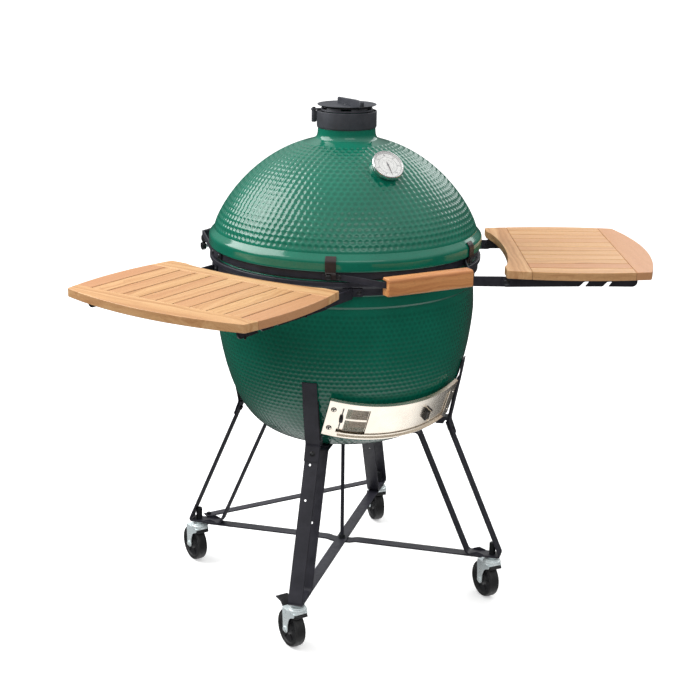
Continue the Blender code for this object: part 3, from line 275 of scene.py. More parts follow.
# ---------------------------------------------------------------- shelves
SHELF_AZIMUTH = 62.8
SHELF_TOP = 0.9407
SHELF_THICKNESS = 0.0200
SHELF_INNER = 0.388
SHELF_OUTER = 0.740
SHELF_INNER_HALF = 0.252
SHELF_OUTER_HALF = 0.257
SHELF_INNER_SAG = 0.024
SHELF_OUTER_SAG = 0.038
SHELF_SIDE_SAG = 0.018
BOARD_TINTS = (0.10, 0.0, 1.0, 0.15, 0.35, 0.0, 0.45, 0.10, 0.60, 0.20, 0.0, 0.35, 0.95)
SLOTS = 10
SLOT_PITCH = 0.0484
SLOT_WIDTH = 0.0035
SLOT_INNER = 0.449
SLOT_OUTER = 0.701
ARM_OFFSET = 0.2160
PIVOT_REACH = 0.392
PIVOT_Z = 0.903

STAND = "stand_and_base"   # the body that all the fixed parts belong to


# ================================================================ small helpers
def radial(azimuth):
    """The horizontal direction at an azimuth."""
    turn = math.radians(azimuth)
    return Vector((math.sin(turn), -math.cos(turn), 0.0))


def upright_plane(azimuth, offset=0.0):
    """Frame with X outwards at an azimuth, Y up, and Z sideways, offset along Z."""
    out, up = radial(azimuth), Vector((0, 0, 1))
    side = out.cross(up)
    made = Matrix((out, up, side)).transposed().to_4x4()
    made.translation = side * offset
    return made


def fore_and_aft(x):
    """Frame with X along the grill's Y, Y up, and Z along the grill's X, at a given x."""
    return Matrix(((0, 0, 1, x), (1, 0, 0, 0), (0, 1, 0, 0), (0, 0, 0, 1)))


def facing(place, direction):
    """Frame at a place whose local Z points in a direction."""
    turn = Vector(direction).to_track_quat("Z", "Y").to_matrix().to_4x4()
    return Matrix.Translation(place) @ turn


def arc(centre, radius, start, end, steps):
    """Points along an arc, with the angles in degrees."""
    turn = [math.radians(start + (end - start) * i / steps) for i in range(steps + 1)]
    return [(centre[0] + radius * math.cos(a), centre[1] + radius * math.sin(a)) for a in turn]


def lifted(height):
    """A shift straight up, or along local Z."""
    return Matrix.Translation((0, 0, height))


def ring_loop(centre, radius, steps=28):
    """A full circle of points."""
    return arc(centre, radius, 0, 360 * (steps - 1) / steps, steps - 1)


def rounded(points, radius, closed=True, steps=4):
    """The same outline with its corners rounded; a point may carry its own radius as a third number."""
    count = len(points)
    made = []
    for i, point in enumerate(points):
        if not closed and i in (0, count - 1):
            made.append((point[0], point[1]))
            continue
        here = Vector(point[:2])
        back, ahead = Vector(points[i - 1][:2]) - here, Vector(points[(i + 1) % count][:2]) - here
        size = point[2] if len(point) > 2 else radius
        reach = min(size, 0.45 * back.length, 0.45 * ahead.length)
        if reach < 1e-6:
            made.append((here.x, here.y))
            continue
        first, last = here + back.normalized() * reach, here + ahead.normalized() * reach
        for k in range(steps + 1):
            t = k / steps
            spot = first * (1 - t) ** 2 + here * 2 * t * (1 - t) + last * t ** 2
            made.append((spot.x, spot.y))
    return made


def strip_loop(path, thickness):
    """The outline of a bent flat bar seen from its edge, about its middle line."""
    half = thickness / 2
    left, right = [], []
    for i, point in enumerate(path):
        here = Vector(point)
        before = (here - Vector(path[i - 1])).normalized() if i else None
        after = (Vector(path[i + 1]) - here).normalized() if i < len(path) - 1 else before
        before = before or after
        normal = Vector((-(before.y + after.y), before.x + after.x)).normalized()
        mitre = half / (normal.y * before.x - normal.x * before.y)
        left.append(tuple(here + normal * mitre))
        right.append(tuple(here - normal * mitre))
    return left + right[::-1]


def bowed(start, end, sag, steps):
    """Points from start up to, not including, end, bowed to the right by sag."""
    start, end = Vector(start), Vector(end)
    along = end - start
    side = Vector((along.y, -along.x)).normalized()
    return [tuple(start + along * (i / steps) + side * (4 * sag * (i / steps) * (1 - i / steps)))
            for i in range(steps)]


# ================================================================ shapes
def new_object(name, mesh, material=None, matrix=None):
    """Put a mesh in the scene."""
    mesh.name = name
    if material is not None:
        mesh.materials.clear()
        mesh.materials.append(material)
    made = bpy.data.objects.new(name, mesh)
    bpy.context.scene.collection.objects.link(made)
    if matrix is not None:
        made.matrix_world = matrix
    return made


def smooth(item, degrees=38.0):
    """Smooth shading that stays crisp at edges sharper than an angle."""
    item.data.shade_smooth()
    item.data.set_sharp_from_angle(angle=math.radians(degrees))
    return item


def evaluated_mesh(item):
    """A copy of the mesh that an object makes with its modifiers."""
    return bpy.data.meshes.new_from_object(item.evaluated_get(bpy.context.evaluated_depsgraph_get()))


def welded(mesh, dissolve=False):
    """Join a mesh's loose corners and point its faces out."""
    work = bmesh.new()
    work.from_mesh(mesh)
    bmesh.ops.remove_doubles(work, verts=work.verts, dist=1e-6)
    if dissolve:
        bmesh.ops.dissolve_degenerate(work, edges=work.edges, dist=1e-6)
    bmesh.ops.recalc_face_normals(work, faces=work.faces)
    work.to_mesh(mesh)
    work.free()
    return mesh


def swept(turns, radii, heights):
    """A grid of points: each (radius, height) of a line, at each turn about Z."""
    return np.stack([np.outer(np.cos(turns), radii), np.outer(np.sin(turns), radii),
                     np.tile(heights, (len(turns), 1))], axis=-1)


def turned(name, profile, material, steps=SMALL_STEPS, matrix=None, soft=0.0, closed=True, corner_steps=3):
    """Turn a profile of (radius, height) points about local Z, with its corners rounded."""
    points = rounded(profile, soft, closed, corner_steps) if soft else [p[:2] for p in profile]
    turns = np.arange(steps) * (math.tau / steps)
    radii = np.array([p[0] for p in points])
    heights = np.array([p[1] for p in points])
    spots = swept(turns, radii, heights).reshape(-1, 3)
    count = len(points)
    spans = count if closed else count - 1
    faces = []
    for i in range(steps):
        j = (i + 1) % steps
        for k in range(spans):
            n = (k + 1) % count
            faces.append((i * count + k, j * count + k, j * count + n, i * count + n))
    mesh = bpy.data.meshes.new(name)
    mesh.from_pydata(spots.tolist(), [], faces)
    return smooth(new_object(name, welded(mesh, True), material, matrix))


def rod(name, radius, half, material, steps, matrix, soft=0.0):
    """A plain cylinder along local Z, with eased rims."""
    return turned(name, [(0.0, half), (radius, half), (radius, -half), (0.0, -half)], material, steps,
                  matrix, soft, False)


def plate(name, loops, thickness, material, matrix=None, edge=0.0005, edge_steps=1):
    """A flat shape with eased edges: the first loop is its outline and the others are holes."""
    curve = bpy.data.curves.new(name, "CURVE")
    curve.dimensions = "2D"
    curve.fill_mode = "BOTH"
    edge = min(edge, thickness * 0.45)
    curve.extrude = thickness / 2 - edge
    curve.bevel_depth = edge
    curve.bevel_resolution = edge_steps
    curve.offset = -edge
    for loop in loops:
        spline = curve.splines.new("POLY")
        spline.points.add(len(loop) - 1)
        for point, spot in zip(spline.points, loop):
            point.co = (spot[0], spot[1], 0.0, 1.0)
        spline.use_cyclic_u = True
    return mesh_of_curve(name, curve, material, matrix)


def mesh_of_curve(name, curve, material, matrix=None):
    """Turn a curve into a welded, smooth-shaded mesh object."""
    holder = bpy.data.objects.new(name + "_curve", curve)
    bpy.context.scene.collection.objects.link(holder)
    mesh = evaluated_mesh(holder)
    bpy.data.objects.remove(holder, do_unlink=True)
    bpy.data.curves.remove(curve)
    return smooth(new_object(name, welded(mesh), material, matrix))


def wire(name, points, radius, material, matrix=None, cyclic=False, sides=2):
    """A round wire through points."""
    curve = bpy.data.curves.new(name, "CURVE")
    curve.dimensions = "3D"
    curve.bevel_depth = radius
    curve.bevel_resolution = sides
    curve.use_fill_caps = True
    spline = curve.splines.new("POLY")
    spline.points.add(len(points) - 1)
    for point, spot in zip(spline.points, points):
        point.co = (*spot, 1.0)
    spline.use_cyclic_u = cyclic
    return mesh_of_curve(name, curve, material, matrix)


def block(name, low, high, material, matrix=None, edge=0.0006):
    """A block between two opposite corners, with eased edges."""
    low, high = Vector(low), Vector(high)
    size = high - low
    work = bmesh.new()
    bmesh.ops.create_cube(work, size=1.0,
                          matrix=Matrix.Translation((low + high) / 2) @ Matrix.Diagonal((*size, 1)))
    if edge:
        bmesh.ops.bevel(work, geom=work.edges[:], offset=edge, segments=2, affect="EDGES", profile=0.5)
    mesh = bpy.data.meshes.new(name)
    work.to_mesh(mesh)
    work.free()
    return smooth(new_object(name, mesh, material, matrix))


def cut(item, tool, operation="DIFFERENCE"):
    """Cut a shape with another, which is then removed."""
    change = item.modifiers.new("Cut", "BOOLEAN")
    change.operation = operation
    change.solver = "EXACT"
    change.object = tool
    mesh = evaluated_mesh(item)
    item.modifiers.clear()
    item.data = mesh
    bpy.data.objects.remove(tool, do_unlink=True)
    return smooth(item)


def merged(name, items, weighted=True):
    """Join shapes into one piece."""
    with bpy.context.temp_override(active_object=items[0], object=items[0], selected_objects=items,
                                   selected_editable_objects=items):
        if len(items) > 1:
            bpy.ops.object.join()
    made = items[0]
    made.name = name
    made.data.name = name
    if weighted:
        change = made.modifiers.new("Even normals", "WEIGHTED_NORMAL")
        change.keep_sharp = True
    return made


def fix(item, body, slot, *nodes):
    """Move a piece from the ceramic's axis to its place, and let it ride on its body."""
    bpy.context.view_layer.update()
    item.matrix_world = Matrix.Translation(AXIS) @ item.matrix_world
    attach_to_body(item, body)
    if nodes:
        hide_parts(*nodes)
    return item


def attach(items, body, slot, node, weighted=True):
    """Join shapes into the piece that is seen in place of a node."""
    return fix(merged(node + "_detail", items, weighted), body, slot, node)


def hex_nut(name, across, thickness, material, matrix, bore=0.0):
    """A hexagon nut or bolt head along local Z, with chamfered corners."""
    reach = across / math.sqrt(3)
    loops = [ring_loop((0, 0), reach, 6)]
    if bore:
        loops.append(ring_loop((0, 0), bore, 20))
    return plate(name, loops, thickness, material, matrix @ lifted(thickness / 2), 0.0005)


def round_head(name, radius, height, material, matrix, slot=None):
    """A low domed bolt head along local Z; slot is the material of its drive recess."""
    profile = [(0.0, height)] + [(radius * math.sin(a), height * math.cos(a) * 0.8 + height * 0.2)
                                 for a in (math.radians(d) for d in (25, 50, 70, 82, 90))]
    profile += [(radius, 0.0), (0.0, 0.0)]
    made = turned(name, profile, material, 24, matrix, closed=False)
    if slot is None:
        return made
    recess = plate(name + "_recess", [ring_loop((0, 0), radius * 0.42, 6)], 0.0006, slot,
                   matrix @ lifted(height), 0.0001)
    return merged(name, [made, recess], False)


# ================================================================ materials
class Paint:
    """A Principled material whose nodes are added by short calls."""

    def __init__(self, name, colour, roughness, metallic=0.0, **fixed):
        self.material = bpy.data.materials.new(name)
        self.material.use_nodes = True
        self.tree = self.material.node_tree
        self.shader = self.tree.nodes["Principled BSDF"]
        self.shader.inputs["Base Color"].default_value = (*colour, 1.0)
        self.shader.inputs["Roughness"].default_value = roughness
        self.shader.inputs["Metallic"].default_value = metallic
        for key, value in fixed.items():
            self.shader.inputs[key.replace("_", " ")].default_value = value
        self.place = self.node("ShaderNodeTexCoord").outputs["Object"]

    def node(self, kind, inputs=None, **settings):
        """Add a node; a socket among the inputs is linked and a number is set."""
        made = self.tree.nodes.new(kind)
        for key, value in settings.items():
            setattr(made, key, value)
        for key, value in (inputs or {}).items():
            if isinstance(value, bpy.types.NodeSocket):
                self.tree.links.new(value, made.inputs[key])
            else:
                made.inputs[key].default_value = value
        return made

    def stretched(self, scale, source=None):
        """Coordinates scaled by a different amount along each direction."""
        return self.node("ShaderNodeMapping", {"Vector": source or self.place, "Scale": scale}).outputs[0]

    def noise(self, scale, detail=3.0, source=None, roughness=0.5, distortion=0.0):
        """Noise between 0 and 1."""
        return self.node("ShaderNodeTexNoise", {
            "Vector": source or self.place, "Scale": scale, "Detail": detail,
            "Roughness": roughness, "Distortion": distortion}).outputs["Fac"]

    def spread(self, value, low, high, new_low, new_high):
        """Map a range of values to another, clamped."""
        return self.node("ShaderNodeMapRange", {
            "Value": value, "From Min": low, "From Max": high, "To Min": new_low,
            "To Max": new_high}).outputs[0]

    def ramp(self, value, *stops):
        """Colours along a value: stops are (position, colour)."""
        made = self.node("ShaderNodeValToRGB", {"Fac": value})
        ends = made.color_ramp.elements
        for i, (position, colour) in enumerate(stops):
            stop = ends[i] if i < 2 else ends.new(position)
            stop.position = position
            stop.color = (*colour, 1.0)
        return made.outputs["Color"]

    def mix(self, factor, a, b, blend="MIX"):
        """Mix two colours."""
        made = self.node("ShaderNodeMix", data_type="RGBA", blend_type=blend)
        for key, value in ((0, factor), (6, a), (7, b)):
            if isinstance(value, bpy.types.NodeSocket):
                self.tree.links.new(value, made.inputs[key])
            else:
                made.inputs[key].default_value = value if key == 0 else (*value, 1.0)
        return made.outputs[2]

    def attribute(self, name, output="Fac"):
        """A value stored on the mesh."""
        return self.node("ShaderNodeAttribute", attribute_name=name).outputs[output]

    def colour(self, socket):
        """Drive the base colour."""
        self.tree.links.new(socket, self.shader.inputs["Base Color"])

    def rough(self, socket):
        """Drive the roughness."""
        self.tree.links.new(socket, self.shader.inputs["Roughness"])

    def bump(self, height, distance, strength=1.0):
        """Raise the surface by a height value."""
        before = self.shader.inputs["Normal"].links
        made = self.node("ShaderNodeBump", {"Height": height, "Distance": distance, "Strength": strength})
        if before:
            self.tree.links.new(before[0].from_socket, made.inputs["Normal"])
        self.tree.links.new(made.outputs[0], self.shader.inputs["Normal"])


def glaze_paint():
    """Green glaze: deeper where it pools in the dents, thinner and paler on the lands."""
    paint = Paint("green_glaze", (0.008, 0.14, 0.075), 0.12, Coat_Weight=0.25, Coat_Roughness=0.05, IOR=1.45)
    cloud = paint.noise(9.0, 4.0)
    fine = paint.noise(260.0, 3.0)
    body = paint.ramp(cloud, (0.30, (0.0030, 0.130, 0.080)), (0.72, (0.0060, 0.172, 0.108)))
    land = paint.mix(paint.spread(fine, 0.35, 0.75, 0.0, 0.35), body, (0.010, 0.215, 0.136))
    pool = paint.mix(paint.spread(paint.attribute("dent"), 0.0, 1.0, 0.0, 0.50), land,
                     (0.0012, 0.080, 0.047))
    specks = paint.spread(paint.noise(900.0, 1.0), 0.70, 0.76, 0.0, 0.35)
    paint.colour(paint.mix(specks, pool, (0.001, 0.03, 0.016)))
    paint.rough(paint.spread(paint.noise(35.0, 3.0), 0.3, 0.7, 0.07, 0.17))
    paint.bump(paint.noise(150.0, 2.0), 0.0009, 0.16)
    return paint.material


def clay_paint():
    """Bare fired clay with specks and a little soot."""
    paint = Paint("fired_clay", (0.55, 0.47, 0.37), 0.88)
    body = paint.ramp(paint.noise(14.0, 5.0), (0.25, (0.40, 0.33, 0.25)), (0.75, (0.64, 0.55, 0.44)))
    soot = paint.spread(paint.noise(5.0, 4.0, distortion=0.6), 0.52, 0.80, 0.0, 0.55)
    smoked = paint.mix(soot, body, (0.10, 0.085, 0.07))
    specks = paint.spread(paint.noise(420.0, 1.0), 0.66, 0.72, 0.0, 0.6)
    paint.colour(paint.mix(specks, smoked, (0.20, 0.15, 0.10)))
    paint.bump(paint.noise(300.0, 4.0), 0.0012, 0.5)
    return paint.material


def coat_paint(name, low, high, roughness=0.42):
    """Satin powder coat with its fine orange peel."""
    paint = Paint(name, high, roughness, Coat_Weight=0.15, Coat_Roughness=0.25)
    paint.colour(paint.ramp(paint.noise(30.0, 4.0), (0.3, low), (0.7, high)))
    paint.rough(paint.spread(paint.noise(90.0, 3.0), 0.3, 0.7, roughness - 0.08, roughness + 0.10))
    paint.bump(paint.noise(1400.0, 2.0), 0.0003, 0.35)
    return paint.material


def metal_paint(name, low, high, roughness, stretch=(1, 1, 1), grain=700.0, relief=0.10, metallic=1.0):
    """Bare or plated metal with a fine directional finish."""
    paint = Paint(name, high, roughness, metallic)
    lines = paint.noise(grain, 3.0, paint.stretched(stretch))
    cloud = paint.noise(18.0, 3.0)
    paint.colour(paint.ramp(cloud, (0.3, low), (0.7, high)))
    paint.rough(paint.spread(lines, 0.25, 0.75, roughness * 0.75, roughness * 1.35))
    paint.bump(lines, 0.0002, relief)
    return paint.material


def cast_paint(name, low, high, roughness, metallic, grain=900.0):
    """Sand-cast metal under a thin coat."""
    paint = Paint(name, high, roughness, metallic)
    paint.colour(paint.ramp(paint.noise(45.0, 5.0), (0.3, low), (0.7, high)))
    paint.rough(paint.spread(paint.noise(200.0, 3.0), 0.3, 0.7, roughness - 0.07, roughness + 0.09))
    paint.bump(paint.noise(grain, 3.0), 0.0005, 0.45)
    return paint.material


def wood_paint(name, pale, mid, dark, blush):
    """Oiled hardwood; boards carry their own grain coordinates and tint."""
    paint = Paint(name, mid, 0.42, Coat_Weight=0.08, Coat_Roughness=0.3)
    grain = paint.attribute("grain", "Vector")
    tint = paint.attribute("tint")
    sway = paint.noise(3.0, 3.0, paint.stretched((1.2, 4.0, 4.0), grain))
    bent = paint.node("ShaderNodeVectorMath", {0: grain, 1: paint.node(
        "ShaderNodeCombineXYZ", {"Y": paint.spread(sway, 0.0, 1.0, -0.035, 0.035)}).outputs[0]}).outputs[0]
    rings = paint.noise(1.0, 4.0, paint.stretched((1.1, 95.0, 40.0), bent), 0.62)
    fibre = paint.noise(1.0, 3.0, paint.stretched((28.0, 1500.0, 900.0), bent), 0.6)
    pores = paint.noise(1.0, 1.0, paint.stretched((90.0, 2600.0, 1800.0), bent))
    broad = paint.noise(1.0, 2.0, paint.stretched((1.8, 14.0, 9.0), bent))
    body = paint.ramp(rings, (0.32, pale), (0.50, mid), (0.70, dark))
    body = paint.mix(paint.spread(broad, 0.35, 0.75, 0.0, 0.45), body, blush)
    body = paint.mix(paint.spread(tint, 0.0, 1.0, 0.0, 0.85), body, blush)
    body = paint.mix(paint.spread(fibre, 0.45, 0.8, 0.0, 0.30), body, dark)
    paint.colour(paint.mix(paint.spread(pores, 0.62, 0.70, 0.0, 0.60), body, [c * 0.45 for c in dark]))
    paint.rough(paint.spread(fibre, 0.2, 0.8, 0.36, 0.56))
    paint.bump(fibre, 0.00025, 0.25)
    paint.bump(pores, 0.0002, 0.15)
    return paint.material


def rubber_paint(name, colour, roughness, grain):
    """Moulded rubber or plastic."""
    paint = Paint(name, colour, roughness)
    dust = paint.spread(paint.noise(60.0, 5.0), 0.50, 0.85, 0.0, 0.22)
    paint.colour(paint.mix(dust, colour, (0.10, 0.10, 0.10)))
    paint.rough(paint.spread(paint.noise(150.0, 3.0), 0.3, 0.7, roughness - 0.08, roughness + 0.12))
    paint.bump(paint.noise(grain, 2.0), 0.0003, 0.4)
    return paint.material


def felt_paint():
    """Pressed felt: short fibres in every direction."""
    paint = Paint("felt", (0.07, 0.068, 0.064), 0.95, Sheen_Weight=0.3)
    paint.colour(paint.ramp(paint.noise(800.0, 4.0), (0.3, (0.035, 0.034, 0.032)),
                            (0.7, (0.12, 0.115, 0.105))))
    paint.bump(paint.noise(1500.0, 4.0, distortion=1.5), 0.0008, 0.7)
    return paint.material


def enamel_paint():
    """White enamel of the dial, very slightly aged."""
    paint = Paint("dial_enamel", (0.86, 0.85, 0.82), 0.35)
    paint.colour(paint.ramp(paint.noise(90.0, 3.0), (0.3, (0.80, 0.79, 0.76)), (0.7, (0.90, 0.89, 0.86))))
    paint.rough(paint.spread(paint.noise(300.0, 2.0), 0.3, 0.7, 0.28, 0.42))
    return paint.material


def glass_paint():
    """Clear lens, seen mostly by its reflections and a few fine marks."""
    paint = Paint("lens_glass", (0.95, 0.97, 0.98), 0.03, Alpha=0.12)
    paint.rough(paint.spread(paint.noise(400.0, 2.0), 0.6, 0.8, 0.02, 0.10))
    return paint.material


GLAZE = glaze_paint()
CLAY = clay_paint()
COAT = coat_paint("black_powder_coat", (0.017, 0.017, 0.025), (0.032, 0.031, 0.043))
BROWN_COAT = coat_paint("dark_brown_coat", (0.020, 0.012, 0.012), (0.040, 0.022, 0.020))
CAST = cast_paint("cast_aluminium", (0.040, 0.043, 0.053), (0.062, 0.066, 0.080), 0.52, 0.25)
IRON = cast_paint("cast_iron", (0.018, 0.017, 0.016), (0.040, 0.037, 0.034), 0.68, 0.5, 600.0)
STAINLESS = metal_paint("stainless", (0.90, 0.81, 0.70), (0.97, 0.90, 0.79), 0.24, (0.06, 1.0, 1.0), 900.0)
ZINC = metal_paint("zinc_plate", (0.80, 0.90, 0.92), (0.92, 0.98, 0.98), 0.30, (1, 1, 1), 260.0, 0.12, 0.35)
CHROME = metal_paint("chrome", (0.80, 0.80, 0.80), (0.90, 0.89, 0.88), 0.10, (1, 1, 1), 500.0, 0.04)
BOLT = metal_paint("dark_bolt", (0.030, 0.032, 0.036), (0.075, 0.078, 0.085), 0.35, (1, 1, 1), 900.0, 0.15,
                   0.8)
SHELF_WOOD = wood_paint("shelf_wood", (0.76, 0.49, 0.24), (0.66, 0.38, 0.165), (0.42, 0.19, 0.065),
                        (0.56, 0.265, 0.125))
# Near-black wood for the blocks in the shelf slots: painted shade of the gaps.
GAP_SHADE_WOOD = wood_paint("gap_shade_wood", (0.110, 0.045, 0.018), (0.080, 0.032, 0.013), (0.050, 0.020, 0.008),
                        (0.070, 0.028, 0.012))
GRIP_WOOD = wood_paint("grip_wood", (0.80, 0.40, 0.155), (0.68, 0.30, 0.100), (0.42, 0.14, 0.040),
                       (0.62, 0.23, 0.085))
BLACK = coat_paint("black_oxide", (0.004, 0.004, 0.005), (0.009, 0.009, 0.011), 0.5)
RUBBER = rubber_paint("black_rubber", (0.014, 0.014, 0.015), 0.55, 500.0)
PLASTIC = rubber_paint("black_plastic", (0.020, 0.020, 0.022), 0.42, 1200.0)
FELT = felt_paint()
ENAMEL = enamel_paint()
GLASS = glass_paint()
INK = coat_paint("dial_ink", (0.030, 0.032, 0.036), (0.060, 0.062, 0.068), 0.5)
NEEDLE = coat_paint("needle", (0.040, 0.012, 0.012), (0.080, 0.020, 0.018), 0.4)


# ================================================================ ceramic body
def superellipse(radius, rise, squareness, turn):
    """A point of a rounded profile: full radius at turn 0, full rise at a quarter turn."""
    narrow, tall = squareness
    return radius * math.cos(turn) ** (2 / narrow), rise * math.sin(turn) ** (2 / tall)


def side_curve(radius, rise, squareness, end_radius, steps):
    """Rounded profile from its widest point to where it has narrowed to end_radius."""
    last = math.acos((end_radius / radius) ** (squareness[0] / 2))
    return [superellipse(radius, rise, squareness, last * i / steps) for i in range(steps + 1)]


def resampled(points, step):
    """The same line with no stretch longer than a step."""
    made = [points[0]]
    for start, end in zip(points, points[1:]):
        count = max(1, math.ceil(math.dist(start, end) / step))
        for i in range(1, count + 1):
            made.append(tuple(a + (b - a) * i / count for a, b in zip(start, end)))
    return made


def dent_field(turns, radii, along, pitch, low, high):
    """How deep each point of a turned surface lies in a dent, 0 to 1, for interlocking rows of dents."""
    reach = pitch * DENT_SHARE
    gap = pitch * math.sqrt(3) / 2
    depth = np.zeros((len(turns), len(along)))
    start = math.radians(DENT_AZIMUTH - 90)
    first = np.floor((along - low) / gap)
    for step in (-1, 0, 1, 2):
        row = first + step
        middle = low + row * gap
        inside = (middle > low + reach) & (middle < high - reach)
        count = np.maximum(np.round(math.tau * np.interp(middle, along, radii) / pitch), 3)
        spacing = math.tau / count
        phase = start + (row % 2) * spacing / 2
        turn = turns[:, None] - phase[None, :]
        turn = turn - np.round(turn / spacing[None, :]) * spacing[None, :]
        away = np.hypot(turn * radii[None, :], (along - middle)[None, :])
        share = np.clip(1 - (away / reach) ** 2, 0, 1) ** 1.15
        depth = np.maximum(depth, share * inside[None, :])
    return depth


def dented(name, outer, inner, pitch, depth, zone, calm=None):
    """Turned ceramic: a glazed outer line with dents between two heights, and a bare inner line."""
    line = resampled(outer, GRID_STEP)
    radii = np.array([p[0] for p in line])
    heights = np.array([p[1] for p in line])
    lengths = np.r_[0, np.cumsum(np.hypot(np.diff(radii), np.diff(heights)))]
    turns = np.arange(ROUND_STEPS) * (math.tau / ROUND_STEPS)
    in_zone = lengths[(heights < zone[1]) & (heights > zone[0]) & (radii > zone[2])]
    share = dent_field(turns, radii, lengths, pitch, in_zone.min(), in_zone.max())
    flat = swept(turns, radii, heights)
    if calm is not None:
        centre, direction, quiet = calm
        offset = flat - np.array(centre)
        away = np.linalg.norm(offset - (offset @ np.array(direction))[..., None] * np.array(direction),
                              axis=-1)
        share = share * np.clip((away - quiet) / (pitch * 0.4), 0, 1)
    tangent_r, tangent_z = np.gradient(radii), np.gradient(heights)
    size = np.hypot(tangent_r, tangent_z)
    out_r, out_z = -tangent_z / size, tangent_r / size
    skin = flat - swept(turns, out_r, out_z) * (share * depth)[..., None]
    inside = np.array([[(r * math.cos(t), r * math.sin(t), z) for r, z in inner] for t in turns])
    spots = np.concatenate([skin, inside], axis=1)
    count, glazed = spots.shape[1], len(line)
    faces, slots = [], []
    spans = count if inner[-1][0] > 0 else count - 1
    for i in range(ROUND_STEPS):
        j = (i + 1) % ROUND_STEPS
        for k in range(spans):
            n = (k + 1) % count
            faces.append((i * count + k, i * count + n, j * count + n, j * count + k))
            slots.append(0 if k < glazed else 1)
    mesh = bpy.data.meshes.new(name)
    mesh.from_pydata(spots.reshape(-1, 3).tolist(), [], faces)
    mesh.polygons.foreach_set("material_index", slots)
    stored = mesh.attributes.new("dent", "FLOAT", "POINT")
    stored.data.foreach_set("value", np.concatenate(
        [share, np.zeros(inside.shape[:2])], axis=1).astype(np.float32).ravel())
    work = bmesh.new()
    work.from_mesh(mesh)
    poles = [v for v in work.verts if math.hypot(v.co.x, v.co.y) < 1e-7]
    bmesh.ops.remove_doubles(work, verts=poles, dist=1e-6)
    bmesh.ops.recalc_face_normals(work, faces=work.faces)
    work.to_mesh(mesh)
    work.free()
    made = new_object(name, mesh, GLAZE)
    mesh.materials.append(CLAY)
    return smooth(made, 32.0)


def gauge_frame():
    """Frame of the dial: local Z points out of its face."""
    return Matrix.Translation(GAUGE_CENTRE) @ Matrix.Rotation(math.radians(GAUGE_TILT), 4, "X")


def door_frame_matrix():
    """Frame on the draft door's axis: local Z leans forward, local -Y points out."""
    middle = Matrix.Translation(DOOR_MIDDLE) @ Matrix.Rotation(math.radians(DOOR_TILT), 4, "X")
    return middle @ Matrix.Translation((0, DOOR_RADIUS, 0))


def base_ceramic():
    """Glazed base with the seat and the hole of the draft door."""
    wall = [(BASE_RADIUS - 0.0037 * (1 - i / 8) ** 2,
             0.862 + (BASE_BELLY - 0.862) * i / 8) for i in range(9)]
    bowl = [(r, BASE_BELLY - drop)
            for r, drop in side_curve(BASE_RADIUS, BASE_BELLY - BASE_POLE, BASE_SQUARENESS, FOOT_RADIUS, 70)]
    corners = [(RIM_INNER, BASE_RIM), (RIM_RADIUS, BASE_RIM, 0.002), (RIM_RADIUS, LOWER_BAND[0] - 0.001,
                                                                      0.001),
               (BEAD_RADIUS, LOWER_BAND[0] - 0.003, 0.002), (BEAD_RADIUS, BEAD_BOTTOM, 0.004),
               (wall[0][0], wall[0][1], 0.004)]
    line = rounded(corners + wall[1:], 0.0, False) + bowl[1:-1]
    line += rounded([bowl[-2], (FOOT_RADIUS, BASE_BOTTOM, 0.005), (0.150, BASE_BOTTOM)], 0.0, False)[1:]
    line.append((0.0, BASE_BOTTOM))
    inside = [(r, BASE_BELLY - drop) for r, drop in side_curve(
        BASE_RADIUS - WALL, BASE_BELLY - BASE_FLOOR + 0.002, BASE_SQUARENESS, FLOOR_RADIUS, 24)]
    inner = [(0.0, BASE_FLOOR), (FLOOR_RADIUS, BASE_FLOOR)] + inside[-2::-1]
    made = dented("base_ceramic", line, inner, BASE_DENT, BASE_DENT_DEPTH, (BASE_BOTTOM + 0.006, 0.852, 0.0))
    seat = turned("seat", [(DOOR_RADIUS + 0.08, 0.057), (DOOR_RADIUS + 0.08, -0.057),
                           (DOOR_RADIUS, -0.057), (DOOR_RADIUS, 0.057)], GLAZE, 360, DOOR_FRAME)
    limit = block("seat_limit", (-0.179, -0.5, -0.2), (0.179, -0.1, 0.2), GLAZE, DOOR_FRAME, 0)
    cut(made, cut(seat, limit, "INTERSECT"))
    hole = block("draft_hole", (DRAFT_HOLE[0], -DOOR_RADIUS - 0.02, -DRAFT_HALF_HEIGHT),
                 (DRAFT_HOLE[1], -DOOR_RADIUS + 0.09, DRAFT_HALF_HEIGHT), CLAY, DOOR_FRAME, 0)
    cut(made, hole)
    fix(smooth(made, 32.0), STAND, "green_glaze", "base_shell")


